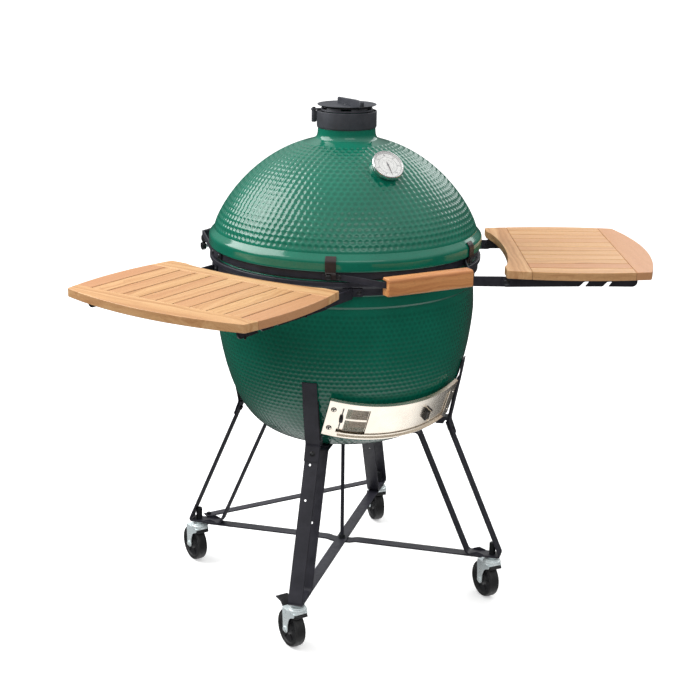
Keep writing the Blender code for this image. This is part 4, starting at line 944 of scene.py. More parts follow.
def dome_ceramic():
    """Glazed lid: flange, dented dome, chimney neck and the thermometer's boss."""
    dome = [(r, DOME_BOTTOM + rise) for r, rise in side_curve(
        DOME_RADIUS, DOME_RISE, DOME_SQUARENESS, DOME_TOP_RADIUS, 70)][::-1]
    neck = rounded([(CHIMNEY_BORE, NECK_TOP), (NECK_TOP_RADIUS, NECK_TOP, 0.002),
                    (NECK_TOP_RADIUS, COLLAR_BOTTOM + 0.0015, 0.001), (NECK_RADIUS - 0.0008, COLLAR_BOTTOM,
                                                                       0.001),
                    (NECK_RADIUS + 0.0006, NECK_LOWER, 0.006), (*NECK_FOOT, 0.007), dome[0], dome[1]], 0.004,
                   False)[:-1]
    flange = rounded([dome[-2], (dome[-1][0], dome[-1][1], 0.008), (FLANGE_RADIUS, FLANGE_TOP, 0.006),
                      (FLANGE_RADIUS, FLANGE_BOTTOM, 0.004), (RIM_RADIUS, FLANGE_BOTTOM, 0.001),
                      (RIM_RADIUS, LID_RIM, 0.002), (RIM_INNER, LID_RIM, 0.001),
                      (RIM_INNER, LID_RIM + 0.012)],
                     0.002, False)
    inside = [(r, DOME_BOTTOM + rise) for r, rise in side_curve(
        DOME_RADIUS - WALL, DOME_RISE - 0.024, DOME_SQUARENESS, CHIMNEY_BORE, 24)]
    direction = GAUGE_FRAME.to_3x3() @ Vector((0, 0, 1))
    made = dented("dome_ceramic", neck + dome[1:-2] + flange, inside, DOME_DENT, DOME_DENT_DEPTH,
                  (DOME_BOTTOM + 0.004, 2.0, 0.100), (tuple(GAUGE_CENTRE), tuple(direction), BOSS_RADIUS))
    boss = turned("boss", [(0.0, BOSS_FACE), (BOSS_RADIUS, BOSS_FACE, 0.004), (BOSS_RADIUS + 0.006, -0.045),
                           (0.0, -0.045)], GLAZE, SMALL_STEPS, GAUGE_FRAME, 0.001, False)
    fix(merged("dome_ceramic", [made, boss], False), "lid", "green_glaze", "dome_lid")


def inside_parts():
    """Fire box, fire ring, grate and cooking grid."""
    bowl = [(FIRE_BOX_RADIUS, FIRE_BOX_TOP), (FIRE_BOX_RADIUS, 0.700, 0.03), (0.262, 0.620, 0.03),
            (0.224, 0.5430, 0.02), (0.163, FIRE_BOX_BOTTOM), (FIRE_BOX_THROAT, FIRE_BOX_BOTTOM),
            (FIRE_BOX_THROAT, GRATE_SEAT), (GRATE_SEAT_RADIUS, GRATE_SEAT), (0.240, 0.628, 0.02),
            (0.262, 0.700, 0.03), (0.262, FIRE_BOX_TOP)]
    fire_box = turned("fire_box_detail", bowl, CLAY, RING_STEPS, soft=0.003)
    notch = block("notch", (-0.100, -0.30, 0.480), (0.060, -0.10, 0.560), CLAY, edge=0)
    fix(cut(fire_box, notch), STAND, "fired_clay", "fire_box")
    ring = [(0.298, FIRE_RING_TOP), (0.286, 0.7653), (0.263, 0.7653), (0.276, FIRE_RING_TOP)]
    fix(turned("fire_ring_detail", ring, CLAY, RING_STEPS, soft=0.004), STAND, "fired_clay", "fire_ring")
    loops = [ring_loop((0, 0), GRATE_RADIUS, 120)]
    for i in range(-5, 6):
        reach = math.sqrt(0.168 ** 2 - (abs(i) * GRATE_PITCH + GRATE_SLOT_HALF) ** 2)
        for side in (-1, 1):
            slot = [(i * GRATE_PITCH - GRATE_SLOT_HALF, side * 0.008), (i * GRATE_PITCH + GRATE_SLOT_HALF,
                                                                        side * 0.008),
                    (i * GRATE_PITCH + GRATE_SLOT_HALF, side * reach), (i * GRATE_PITCH - GRATE_SLOT_HALF,
                                                                        side * reach)]
            loops.append(rounded(slot, 0.006))
    grate = plate("fire_grate_detail", loops, 0.008, IRON, lifted(0.5745), 0.0012, 2)
    fix(grate, STAND, "cast_iron", "fire_grate")

    rods = [wire("rim", [(*p, 0.9184) for p in ring_loop((0, 0), GRID_RIM_RADIUS, 160)], 0.0030, STAINLESS,
                 cyclic=True)]
    for i in range(-13, 14):
        x = i * GRID_PITCH
        if abs(x) < 0.286:
            reach = math.sqrt(GRID_RIM_RADIUS ** 2 - x ** 2)
            rods.append(wire("rod", [(x, -reach, 0.9192), (x, reach, 0.9192)], 0.0022, STAINLESS))
    for y in (-0.1, 0.1):
        reach = math.sqrt(GRID_RIM_RADIUS ** 2 - y ** 2)
        rods.append(wire("brace", [(-reach, y, 0.9180), (reach, y, 0.9180)], 0.0024, STAINLESS))
    attach(rods, "cooking_grid", "stainless", "cooking_grid", False)


# ================================================================ bands, seals, hinge
def bands_and_seals():
    """The two clamping bands and the felt seals."""
    low, high = LOWER_BAND
    lower = turned("lower_band_detail", [
        (BAND_LIP, high, 0.0015), (BAND_LIP, LOWER_BAND_LIP, 0.003), (BAND_OUTER, LOWER_BAND_LIP - 0.003,
                                                                      0.003),
        (BAND_OUTER, low, 0.001), (BAND_INNER, low, 0.0008), (BAND_INNER, high, 0.0008)], COAT, RING_STEPS,
        soft=0.001)
    fix(lower, STAND, "black_coat", "lower_band")
    low, high = UPPER_BAND
    upper = turned("upper_band_detail", [
        (BAND_OUTER - 0.001, high), (BAND_OUTER, high - 0.003, 0.002), (BAND_OUTER, low + 0.003, 0.002),
        (BAND_OUTER - 0.001, low), (BAND_INNER, low), (BAND_INNER, high)], COAT, RING_STEPS, soft=0.0008)
    fix(upper, "lid", "black_coat", "upper_band")
    for name, heights in GASKETS.items():
        body = "lid" if name.startswith("lid") else STAND
        inner, outer = GASKET_RADII
        seal = turned(name + "_detail", [(outer, heights[1]), (outer, heights[0]), (inner, heights[0]),
                                         (inner, heights[1])], FELT, RING_STEPS, soft=0.0005)
        fix(seal, body, "felt", name)


def hinge():
    """Yoke, bracket, pin, and the lifting springs wound on their rod."""
    low, high = YOKE_BAR
    shapes = [block("yoke_bar", (-0.2450, 0.3640, low), (0.2450, 0.3690, high), COAT, edge=0.0012)]
    hug = [radial(YOKE_AZIMUTH + turn) * (BAND_OUTER + 0.0031) for turn in range(-3, 16, 2)]
    for side in (-1, 1):
        path = [(side * p.x, p.y) for p in hug]
        path += [(side * 0.2425, 0.3665, 0.010), (side * HINGE_HALF_WIDTH, 0.3870)]
        arm = plate("yoke_arm", [strip_loop(rounded(path, 0.004, False), 0.004)], high - low, COAT,
                    lifted(sum(UPPER_BAND) / 2), 0.0006)
        for vertex in arm.data.vertices:
            share = min(max((vertex.co.y - hug[-1].y) / (0.3665 - hug[-1].y), 0.0), 1.15)
            vertex.co.z -= 0.018 * share
        eye = arc((HINGE_Y, HINGE_Z), 0.0095, -120, 100, 20) + [(0.384, high), (0.384, low)]
        ear = plate("yoke_ear", [eye, ring_loop((HINGE_Y, HINGE_Z), 0.0064)], 0.004, COAT,
                    fore_and_aft(side * HINGE_HALF_WIDTH))
        shapes += [arm, ear]
        for azimuth in (YOKE_AZIMUTH - 1.5, YOKE_AZIMUTH + 7):
            out = radial(azimuth)
            spot = Vector((side * out.x, out.y, 0)) * (BAND_OUTER + 0.0052) + Vector((0, 0, 0.9462))
            shapes.append(round_head("bolt", 0.0062, 0.0035, BOLT, facing(spot, (side * out.x, out.y, 0)),
                                     COAT))
    attach(shapes, "lid", "black_coat", "lid_hinge_yoke")

    shapes = [block("bracket", (-0.1820, 0.3500, 0.8760), (0.1820, 0.3540, 0.9160), COAT, edge=0.001)]
    for side in (-1, 1):
        outline = [(0.3520, 0.8760)] + arc((HINGE_Y, SPRING_Z), 0.013, -90, 0, 10) + \
            arc((HINGE_Y, HINGE_Z), 0.013, 0, 90, 10) + [(0.3520, 0.9160)]
        holes = [ring_loop((HINGE_Y, HINGE_Z), 0.0064), ring_loop((HINGE_Y, SPRING_Z), 0.0054)]
        shapes.append(plate("ear", [outline] + holes, 0.004, COAT, fore_and_aft(side * HINGE_EAR_X)))
        for x in (0.060, 0.140):
            shapes.append(hex_nut("nut", 0.013, 0.0055, BOLT, facing((side * x, 0.3540, 0.896), (0, 1, 0))))
    attach(shapes, STAND, "black_coat", "base_hinge_bracket")

    along_x = Matrix.Rotation(math.radians(90), 4, "Y")
    half = HINGE_HALF_WIDTH + 0.0025
    place = Matrix.Translation((0, HINGE_Y, HINGE_Z)) @ along_x
    knob = [(0.0, half + 0.013), (0.0115, half + 0.013, 0.004), (0.0115, half, 0.002), (PIN_RADIUS, half,
                                                                                        0.0005)]
    pin = turned("hinge_pin_detail", knob + [(p[0], -p[1], *p[2:]) for p in knob[::-1]], BLACK, 32, place,
                 0.001, False)
    fix(pin, STAND, "black_coat", "hinge_pin")

    place = Matrix.Translation((0, HINGE_Y, SPRING_Z)) @ along_x
    nut = HINGE_EAR_X + 0.0425
    tip = nut + 0.010
    shapes = [rod("rod", ROD_RADIUS, tip, ZINC, 24, place, 0.0008)]
    for z in (nut, -nut - 0.010):
        shapes.append(hex_nut("nut", 0.0195, 0.010, BLACK, place @ lifted(z)))
    wire_radius, turns_per_side = 0.0013, 34
    for side in (-1, 1):
        low, high = 0.010, HINGE_EAR_X - 0.006
        steps = turns_per_side * 14
        coil = []
        for i in range(steps + 1):
            angle = math.tau * turns_per_side * i / steps
            coil.append(((SPRING_RADIUS - wire_radius) * math.cos(angle),
                         (SPRING_RADIUS - wire_radius) * math.sin(angle),
                         side * (low + (high - low) * i / steps)))
        shapes.append(wire("coil", coil, wire_radius, ZINC, place, sides=1))
    attach(shapes, STAND, "zinc", "hinge_spring", False)


# ================================================================ handle
def grained(item, along, across, tint=0.0, shift=(0.0, 0.0, 0.0)):
    """Store wood grain coordinates: how far along, across and through the board each point lies."""
    along, across = Vector(along).normalized(), Vector(across).normalized()
    axes = np.array([along, across, along.cross(across)])
    count = len(item.data.vertices)
    spots = np.zeros(count * 3, np.float32)
    item.data.vertices.foreach_get("co", spots)
    local = spots.reshape(-1, 3) @ axes.T + np.array(shift)
    stored = item.data.attributes.new("grain", "FLOAT_VECTOR", "POINT")
    stored.data.foreach_set("vector", local.astype(np.float32).ravel())
    stored = item.data.attributes.new("tint", "FLOAT", "POINT")
    stored.data.foreach_set("value", np.full(count, tint, np.float32))
    return item


def handle():
    """Bent bar bolted to the upper band, wooden grip, and the two clips over the flange."""
    turn = math.radians(CLIP_AZIMUTH)
    reach = BAND_OUTER + 0.0005 + BAR_THICKNESS / 2
    centre = (reach * math.sin(turn), -reach * math.cos(turn))
    forward = (-math.cos(turn), -math.sin(turn))
    half = [(GRIP_HALF_LENGTH + 0.0025, BAR_Y, 0.006)]
    half += [(centre[0] + 0.020 * forward[0], centre[1] + 0.020 * forward[1], 0.008)]
    half += [(centre[0] - 0.020 * forward[0], centre[1] - 0.020 * forward[1])]
    path = [(-p[0], *p[1:]) for p in half[::-1]] + half
    bar = plate("bar", [strip_loop(rounded(path, 0.006, False), BAR_THICKNESS)], BAR_TOP - BAR_BOTTOM, COAT,
                lifted((BAR_TOP + BAR_BOTTOM) / 2), 0.0006)
    shapes = [bar]
    for side in (-1, 1):
        for azimuth, face in ((CLIP_AZIMUTH + 0.8, 0.3489), (CLIP_AZIMUTH - 3.4, 0.3465)):
            out = radial(side * azimuth)
            shapes.append(round_head("bolt", 0.0070, 0.0036, BLACK,
                                     facing(out * face + Vector((0, 0, 0.9435)), out), BOLT))
    attach(shapes, "lid", "black_coat", "handle_bar")

    low, high = BAR_BOTTOM - 0.0006, BAR_TOP + 0.0006
    section = [(GRIP_FRONT, GRIP_TOP, 0.009), (GRIP_FRONT, GRIP_BOTTOM, 0.009), (GRIP_BACK, GRIP_BOTTOM,
                                                                                 0.004),
               (GRIP_BACK, low, 0.0008), (GRIP_SLOT_END, low, 0.0005), (GRIP_SLOT_END, high, 0.0005),
               (GRIP_BACK, high, 0.0008), (GRIP_BACK, GRIP_TOP, 0.004)]
    grip = plate("grip", [rounded(section, 0.001, True, 6)], 2 * GRIP_HALF_LENGTH, GRIP_WOOD,
                 fore_and_aft(0.0), 0.0022, 3)
    grained(grip, (0, 0, 1), (0, 1, 0), 0.0, (0.31, 0.07, 0.11))
    attach([grip], "lid", "grip_wood", "handle_grip")

    for word, azimuth in (("left", -CLIP_AZIMUTH), ("right", CLIP_AZIMUTH)):
        hook = [(0.3476, 0.9385), (0.3476, 0.9510, 0.003), (0.3524, 0.9548, 0.003), (0.3524, 0.9830, 0.006),
                (0.3440, 0.9930)]
        clip = plate("clip", [strip_loop(rounded(hook, 0.003, False), 0.0022)], 0.026, BROWN_COAT,
                     upright_plane(azimuth), 0.0007)
        attach([clip], "lid", "black_coat", "handle_clip_" + word)


# ================================================================ chimney cap
def vents():
    """Collar with its pivot lug, the swinging vent plate and the turning disc."""
    lug_at = Matrix.Translation(radial(VENT_PIVOT_AZIMUTH) * VENT_PIVOT_REACH)
    outward = Matrix.Rotation(math.radians(VENT_PIVOT_AZIMUTH - 90), 4, "Z")
    collar = turned("collar", [
        (COLLAR_RADIUS, COLLAR_TOP, 0.0022), (COLLAR_RADIUS, 1.2530, 0.003), (0.0742, COLLAR_BOTTOM, 0.0012),
        (COLLAR_BORE, COLLAR_BOTTOM), (COLLAR_BORE, 1.2859), (0.0580, 1.2859), (0.0580, 1.2884, 0.001),
        (0.0712, 1.2884, 0.001), (0.0722, COLLAR_TOP, 0.001)], CAST, RING_STEPS // 2, soft=0.0008)
    lug = turned("lug", [(0.0, 1.2914), (0.0058, 1.2914, 0.0012), (0.0058, 1.2620, 0.0015), (0.0, 1.2620)],
                 CAST, 32, lug_at, 0.001, False)
    web = block("web", (0.0735, -0.0042, 1.2640), (0.0830, 0.0042, 1.2900), CAST, outward, 0.001)
    pin = turned("pin", [(0.0, 1.2992), (0.0042, 1.2992, 0.001), (0.0042, 1.2968), (0.0030, 1.2966),
                         (0.0030, 1.2880), (0.0, 1.2880)], BOLT, 24, lug_at, 0.0004, False)
    attach([collar, lug, web, pin], "lid", "cast_grey", "vent_collar", False)

    wall = VENT_WALL_RADIUS - 0.0030
    top = VENT_PLATE_BOTTOM + 0.0026
    ring = turned("ring", [
        (VENT_WALL_RADIUS - 0.002, VENT_WALL_TOP), (VENT_WALL_RADIUS + 0.001, VENT_PLATE_BOTTOM),
        (0.0520, VENT_PLATE_BOTTOM), (0.0520, top), (wall, top), (wall - 0.0006, VENT_WALL_TOP)], CAST,
        RING_STEPS // 2, soft=0.0006)
    skirt = wall - 0.0014
    disc = turned("disc", [
        (0.0, 1.3052), (0.0300, 1.3050, 0.01), (0.0560, 1.3050, 0.008), (0.0718, 1.3074, 0.003),
        (VENT_DISC_RADIUS, 1.3076, 0.0010), (VENT_DISC_RADIUS - 0.0005, 1.3058, 0.0008),
        (0.0722, 1.3050, 0.002), (skirt, 1.3024), (skirt, 1.2952), (skirt - 0.0026, 1.2952),
        (skirt - 0.0026, 1.3022), (0.0, 1.3020)], CAST, RING_STEPS // 2, soft=0.0006, closed=False)
    for i in range(VENT_WINDOWS):
        turn = Matrix.Rotation(math.tau * i / VENT_WINDOWS, 4, "Z")
        cut(ring, block("window", (0.045, -0.0130, 1.2960), (0.080, 0.0130, 1.3005), CAST, turn, 0))
        cut(disc, block("port", (0.045, -0.0120, 1.2965), (skirt + 0.002, 0.0120, 1.3005), CAST, turn, 0))
    eye = plate("eye", [arc((VENT_PIVOT_REACH, 0), 0.0075, -90, 90, 20) + [(0.0640, 0.0075),
                                                                           (0.0640, -0.0075)],
                        ring_loop((VENT_PIVOT_REACH, 0), 0.0034)], 0.0038, CAST,
                lifted(VENT_PLATE_BOTTOM + 0.0020) @ outward)
    attach([ring, eye], "vent_plate", "cast_grey", "vent_plate", False)
    fin_shape = [(0.046, 1.3205, 0.004), (-0.050, 1.3232, 0.03), (-0.0795, 1.3210, 0.005),
                 (-0.0795, 1.3052, 0.001), (-0.0765, 1.3052, 0.001), (-0.0735, 1.3062), (-0.0560, 1.3044),
                 (0.046, 1.3044)]
    fin = plate("fin", [rounded(fin_shape[::-1], 0.001)], 0.0062, CAST, fore_and_aft(0.0), 0.0014, 3)
    nub = block("nub", (-0.0062, -0.0795, 1.3052), (0.0062, -0.0715, 1.3200), CAST, edge=0.0020)
    hub = turned("hub", [(0.0, 1.3078), (0.0075, 1.3078, 0.001), (0.0085, 1.3046), (0.0, 1.3046)], CAST, 32,
                 soft=0.001, closed=False)
    attach([disc, fin, nub, hub], "vent_disc", "cast_grey", "vent_disc", False)


# ================================================================ thermometer
def dial_text(words, size, spot, material):
    """A small number laid flat on the dial."""
    curve = bpy.data.curves.new("number", "FONT")
    curve.body = words
    curve.size = size
    curve.align_x = "CENTER"
    curve.align_y = "CENTER"
    curve.extrude = 0.00008
    holder = bpy.data.objects.new("number_text", curve)
    bpy.context.scene.collection.objects.link(holder)
    mesh = evaluated_mesh(holder)
    bpy.data.objects.remove(holder, do_unlink=True)
    return new_object("number", mesh, material, GAUGE_FRAME @ Matrix.Translation(spot))


def thermometer():
    """Case with its bezel, enamel dial, scale and probe; pointer; lens."""
    bezel = turned("bezel", [
        (DIAL_RADIUS, DIAL_Z), (DIAL_RADIUS, -0.0006, 0.0004), (0.0386, 0.0004, 0.0012),
        (GAUGE_RADIUS, -0.0016, 0.0016), (GAUGE_RADIUS, -GAUGE_DEPTH + 0.002, 0.002), (0.0370, -GAUGE_DEPTH,
                                                                                       0.001),
        (0.0090, -GAUGE_DEPTH), (0.0090, BOSS_FACE + 0.0003), (0.0045, BOSS_FACE + 0.0003),
        (0.0045, -0.085, 0.001), (0.0, -0.088)], CHROME, RING_STEPS // 2, GAUGE_FRAME, 0.0004, False)
    face = turned("face", [(0.0, DIAL_Z + 0.0001), (DIAL_RADIUS, DIAL_Z + 0.0001),
                           (DIAL_RADIUS, DIAL_Z - 0.001), (0.0, DIAL_Z - 0.001)], ENAMEL, RING_STEPS // 2,
                           GAUGE_FRAME, 0.0, False)
    shapes = [bezel, face]
    lift = DIAL_Z + 0.00018
    for radius, width in ((0.0350, 0.00050), (0.0240, 0.00060), (0.0150, 0.00030)):
        ring = [ring_loop((0, 0), radius, 120), ring_loop((0, 0), radius - width, 120)]
        shapes.append(plate("scale_ring", ring, 0.00012, INK, GAUGE_FRAME @ lifted(lift), 0.00003))
    marks = 60
    for i in range(marks + 1):
        angle = math.radians(-150 + 300 * i / marks)
        long_mark = i % 5 == 0
        outer, inner = 0.0345, 0.0310 if long_mark else 0.0328
        half = 0.00040 if long_mark else 0.00020
        turn = GAUGE_FRAME @ Matrix.Rotation(-angle, 4, "Z")
        shapes.append(block("mark", (-half, inner, lift - 0.00006), (half, outer, lift + 0.00006), INK, turn,
                            0))
        if i % 10 == 0:
            spot = Vector((math.sin(angle), math.cos(angle), 0)) * 0.0276
            shapes.append(dial_text(str(50 + 50 * (i // 10)), 0.0050, (spot.x, spot.y, lift), INK))
        if i % 10 == 5:
            spot = Vector((math.sin(angle), math.cos(angle), 0)) * 0.0175
            dot = ring_loop((spot.x, spot.y), 0.0007, 16)
            shapes.append(plate("dot", [dot], 0.00012, INK, GAUGE_FRAME @ lifted(lift), 0.00003))
    attach(shapes, "lid", "chrome_case", "thermometer_case", False)

    turn = GAUGE_FRAME @ Matrix.Rotation(math.radians(POINTER_REST), 4, "Z")
    needle = [(-0.0090, -0.0010), (-0.0090, 0.0010), (-0.002, 0.0017), (0.010, 0.0013), (0.0290, 0.0004),
              (0.0290, -0.0004), (0.010, -0.0013), (-0.002, -0.0017)]
    needle = plate("needle", [needle], 0.0005, NEEDLE, turn @ lifted(-0.0029), 0.0001)
    boss = turned("hub", [(0.0, -0.0022), (0.0026, -0.0022), (0.0030, -0.0034), (0.0, -0.0034)], INK, 32,
                  turn, 0.0005, False)
    attach([needle, boss], "pointer", "needle_black", "thermometer_pointer", False)
    lens = turned("thermometer_lens_detail", [
        (0.0, -0.00055), (0.020, -0.0006, 0.004), (0.0369, -0.0010), (0.0369, -0.0018), (0.0, -0.0018)],
        GLASS, RING_STEPS // 2, GAUGE_FRAME, 0.0, False)
    fix(lens, "lid", "lens_glass", "thermometer_lens")


# ================================================================ draft door
def bend(item, spacing=0.004):
    """Bend a flat piece, drawn with X along the door and Y up, round the draft door's axis."""
    work = bmesh.new()
    work.from_mesh(item.data)
    low = min(v.co.x for v in work.verts)
    high = max(v.co.x for v in work.verts)
    for i in range(1, int((high - low) / spacing)):
        geometry = work.verts[:] + work.edges[:] + work.faces[:]
        bmesh.ops.bisect_plane(work, geom=geometry, plane_co=(low + spacing * i, 0, 0), plane_no=(1, 0, 0),
                               dist=1e-7)
    for vertex in work.verts:
        angle, reach = vertex.co.x / DOOR_RADIUS, DOOR_RADIUS + vertex.co.z
        vertex.co = (reach * math.sin(angle), -reach * math.cos(angle), vertex.co.y)
    work.to_mesh(item.data)
    work.free()
    item.matrix_world = DOOR_FRAME
    return smooth(item, 40.0)


def along(x):
    """Distance along the door's arc of a sideways position."""
    return DOOR_RADIUS * math.asin(x / DOOR_RADIUS)


def rectangle(x0, x1, y0, y1, corner=0.0):
    """A rectangle on the door, between two sideways positions, with rounded corners."""
    x0, x1 = along(x0), along(x1)
    loop = [(x0, y0), (x1, y0), (x1, y1), (x0, y1)]
    return rounded(loop, corner) if corner else loop


def sheet_on_door(name, loops, depth, material, edge=0.0003):
    """A bent sheet between two depths in front of the door's seat."""
    item = plate(name, loops, depth[1] - depth[0], material, Matrix.Identity(4), edge)
    for vertex in item.data.vertices:
        vertex.co.z += (depth[0] + depth[1]) / 2
    return bend(item)


def on_door(x, height, depth):
    """Frame on the door's surface: local Z points out, Y up."""
    angle = x / DOOR_RADIUS
    out = Vector((math.sin(angle), -math.cos(angle), 0))
    up = Vector((0, 0, 1))
    local = Matrix((up.cross(out), up, out)).transposed().to_4x4()
    local.translation = out * (DOOR_RADIUS + depth) + up * height
    return DOOR_FRAME @ local


def draft_door():
    """Draft door: frame, mesh screen, solid slider and its handle."""
    w, h, front = DOOR_HALF_WIDTH, DOOR_HALF_HEIGHT, FRAME_DEPTH[1]
    window = rectangle(-WINDOW_HALF_WIDTH, WINDOW_HALF_WIDTH, -WINDOW_HALF_HEIGHT, WINDOW_HALF_HEIGHT, 0.002)
    shapes = [sheet_on_door("face", [rectangle(-w, w, -h, h, 0.004), window], (front - 0.0014, front),
                            STAINLESS)]
    for x0, x1, y0, y1 in ((-w, w, h - 0.0014, h), (-w, w, -h, -h + 0.0014), (-w, -w + 0.0014, -h, h),
                           (w - 0.0014, w, -h, h)):
        shapes.append(sheet_on_door("side", [rectangle(x0, x1, y0, y1)], (FRAME_DEPTH[0], front - 0.0005),
                                    STAINLESS))
    for sign in (-1, 1):
        y0, y1 = sorted((sign * WINDOW_HALF_HEIGHT, sign * (WINDOW_HALF_HEIGHT + 0.0012)))
        shapes.append(sheet_on_door("rail", [rectangle(-0.151, 0.151, y0, y1)], (0.0080, front - 0.0005),
                                    STAINLESS))
        lip = [rectangle(-0.146, 0.152, sign * 0.0485 - 0.0009, sign * 0.0485 + 0.0009, 0.0006)]
        if sign < 0:
            shapes.append(sheet_on_door("lip", lip, (front - 0.0004, front + 0.0042), STAINLESS))
        for x in (-1, 1):
            spot = on_door(along(x * 0.1665), sign * 0.0300, front)
            # Under each screw a thin black ring is painted shade of the gap round its head, and the black
            # recess on the stainless head is painted shade of the socket.
            shapes.append(turned("washer", [(0.0070, 0.0007), (0.0070, 0.0), (0.0, 0.0), (0.0, 0.0007)],
                                 BLACK, 32, spot, closed=False))
            shapes.append(round_head("screw", 0.0056, 0.0030, STAINLESS, spot, BLACK))
    back = sheet_on_door("back", [rectangle(-w + 0.002, w - 0.002, -h + 0.002, h - 0.002),
                                  rectangle(-0.150, 0.150, -0.0395, 0.0395)], (0.0004, 0.0014), STAINLESS)
    attach(shapes + [back], STAND, "stainless", "draft_frame")

    low, high = SCREEN_SPAN
    loops = [rectangle(low, high, -SLIDE_HALF_HEIGHT, SLIDE_HALF_HEIGHT, 0.002)]
    wires = []
    for column in range(4):
        left = low + 0.024 + 0.052 * column
        for bottom, top in ((-0.0365, -0.0034), (0.0034, 0.0365)):
            x0, x1 = along(left), along(left + 0.0500)
            loops.append([(x0, bottom), (x1, bottom), (x1, top), (x0, top)])
            wires += mesh_wires(x0, x1, bottom, top, sum(SCREEN_PLATE) / 2)
    screen = sheet_on_door("screen", loops, SCREEN_PLATE, STAINLESS)
    rib_x = along(SCREEN_KNOB_X)
    # The rib along the screen's folded pull edge is drawn in black: painted shadow of the fold.
    rib = block("rib", (-0.0008, -0.036, -0.001), (0.0008, 0.036, 0.0048), BLACK,
                on_door(rib_x, 0.0, SCREEN_PLATE[1]), 0.0003)
    knob = block("knob", (-0.0045, -0.0068, 0.0), (0.0045, 0.0068, 0.0090), BLACK,
                 on_door(rib_x, 0.0, SCREEN_PLATE[1]), 0.0016)
    attach([screen, rib, knob] + wires, "draft_screen", "stainless", "draft_screen", False)

    low, high = SLIDER_SPAN
    slider = sheet_on_door("slider", [rectangle(low, high, -SLIDE_HALF_HEIGHT, SLIDE_HALF_HEIGHT, 0.002)],
                           SLIDER_PLATE, STAINLESS)
    attach([slider], "draft_slider", "stainless", "draft_slider")
    spot = on_door(along(SLIDER_KNOB_X), 0.0, SLIDER_PLATE[1])
    grips = [block("pad", (x - 0.0038, -0.0150, 0.0), (x + 0.0038, 0.0150, 0.0105), BLACK, spot, 0.0012)
             for x in (-0.0057, 0.0057)]
    web = block("web", (-0.0015, -0.0165, 0.0), (0.0015, 0.0165, 0.0150), STAINLESS, spot, 0.0003)
    attach(grips + [web], "draft_slider", "black_plastic", "draft_slider_handle")


def mesh_wires(x0, x1, y0, y1, depth):
    """A woven patch of fine wires filling one window of the screen."""
    made = []
    for count, length_way in ((int((y1 - y0) / WIRE_PITCH), True), (int((x1 - x0) / WIRE_PITCH), False)):
        for i in range(1, count):
            points = []
            for k in range(9):
                t = k / 8
                x = x0 + (x1 - x0) * (t if length_way else i / count)
                y = y0 + (y1 - y0) * (i / count if length_way else t)
                spot = on_door(x, y, depth + (WIRE_RADIUS if length_way else -WIRE_RADIUS) * 0.7)
                points.append(tuple(spot.translation))
                if not length_way and k == 0:
                    points = [tuple(on_door(x, y0, depth - WIRE_RADIUS * 0.7).translation),
                              tuple(on_door(x, y1, depth - WIRE_RADIUS * 0.7).translation)]
                    break
            made.append(wire("wire", points, WIRE_RADIUS, STAINLESS, sides=0))
    return made


# ================================================================ stand
def on_leg(height, lift, sideways=0.0):
    """Frame on a leg's outer face at a height: local Z points out of the face."""
    up = Vector((LEG_TOP[0] - LEG_FOOT_OUTER, LEG_TOP[1] - FOOT_Z)).normalized()
    out = Vector((up.y, -up.x))
    share = (height - FOOT_Z) / (LEG_TOP[1] - FOOT_Z)
    spot = Vector((LEG_FOOT_OUTER, FOOT_Z)).lerp(Vector(LEG_TOP), share) + out * lift
    return facing((spot.x, spot.y, sideways), (out.x, out.y, 0))


def leg(word, azimuth):
    """One leg: a flat bar bent up on both sides of its foot plate, with the caster's socket and gussets."""
    frame = upright_plane(azimuth)
    path = [LEG_TOP, (LEG_FOOT_OUTER, FOOT_Z, 0.010), (LEG_FOOT_INNER, FOOT_Z, 0.010),
            (*LEG_INNER_TOP, 0.008), (LEG_TAB_REACH, LEG_INNER_TOP[1])]
    bar = plate("bar", [strip_loop(rounded(path, 0.008, False, 5), STRIP)], LEG_WIDTH, COAT, frame, 0.0008,
                2)
    for height, sideways in LEG_HOLES:
        cut(bar, rod("drill", HOLE_RADIUS, DRILL_REACH, COAT, 20, frame @ on_leg(height, 0.0, sideways)))
    inner = Vector((LEG_INNER_TOP[0] - LEG_FOOT_INNER, LEG_INNER_TOP[1] - FOOT_Z)).normalized()
    spot = Vector((LEG_FOOT_INNER, FOOT_Z)).lerp(Vector(LEG_INNER_TOP), INNER_HOLE_SHARE)
    cut(bar, rod("drill", HOLE_RADIUS, DRILL_REACH, COAT, 20,
                 frame @ facing((spot.x, spot.y, HOLE_OFFSET), (inner.y, -inner.x, 0))))
    place = Matrix.Translation(radial(azimuth) * CASTER_REACH)
    top = FOOT_Z + STRIP / 2
    profile = [(0.0, SOCKET_TOP), (0.0085, SOCKET_TOP, 0.003), (0.0085, top), (0.0058, top),
               (0.0058, SOCKET_TOP - 0.005), (0.0, SOCKET_TOP - 0.005)]
    socket = turned("socket", profile, BOLT, 32, place, 0.0005, False)
    shapes = [bar, socket]
    for side in (-1, 1):
        x = LEG_FOOT_OUTER - 0.062
        shape = [(x - 0.020, top), (x + 0.020, top), (x + 0.014, top + 0.003), (x, top + 0.008),
                 (x - 0.014, top + 0.003)]
        shapes.append(plate("gusset", [shape], 0.003, COAT, upright_plane(azimuth, side * 0.0160), 0.0005))
    spot = Vector((LEG_TAB_REACH + 0.020, LEG_INNER_TOP[1] - STRIP / 2, 0))
    shapes.append(hex_nut("nut", 0.013, 0.006, BOLT, frame @ facing(spot, (0, -1, 0))))
    attach(shapes, STAND, "black_coat", "leg_" + word)


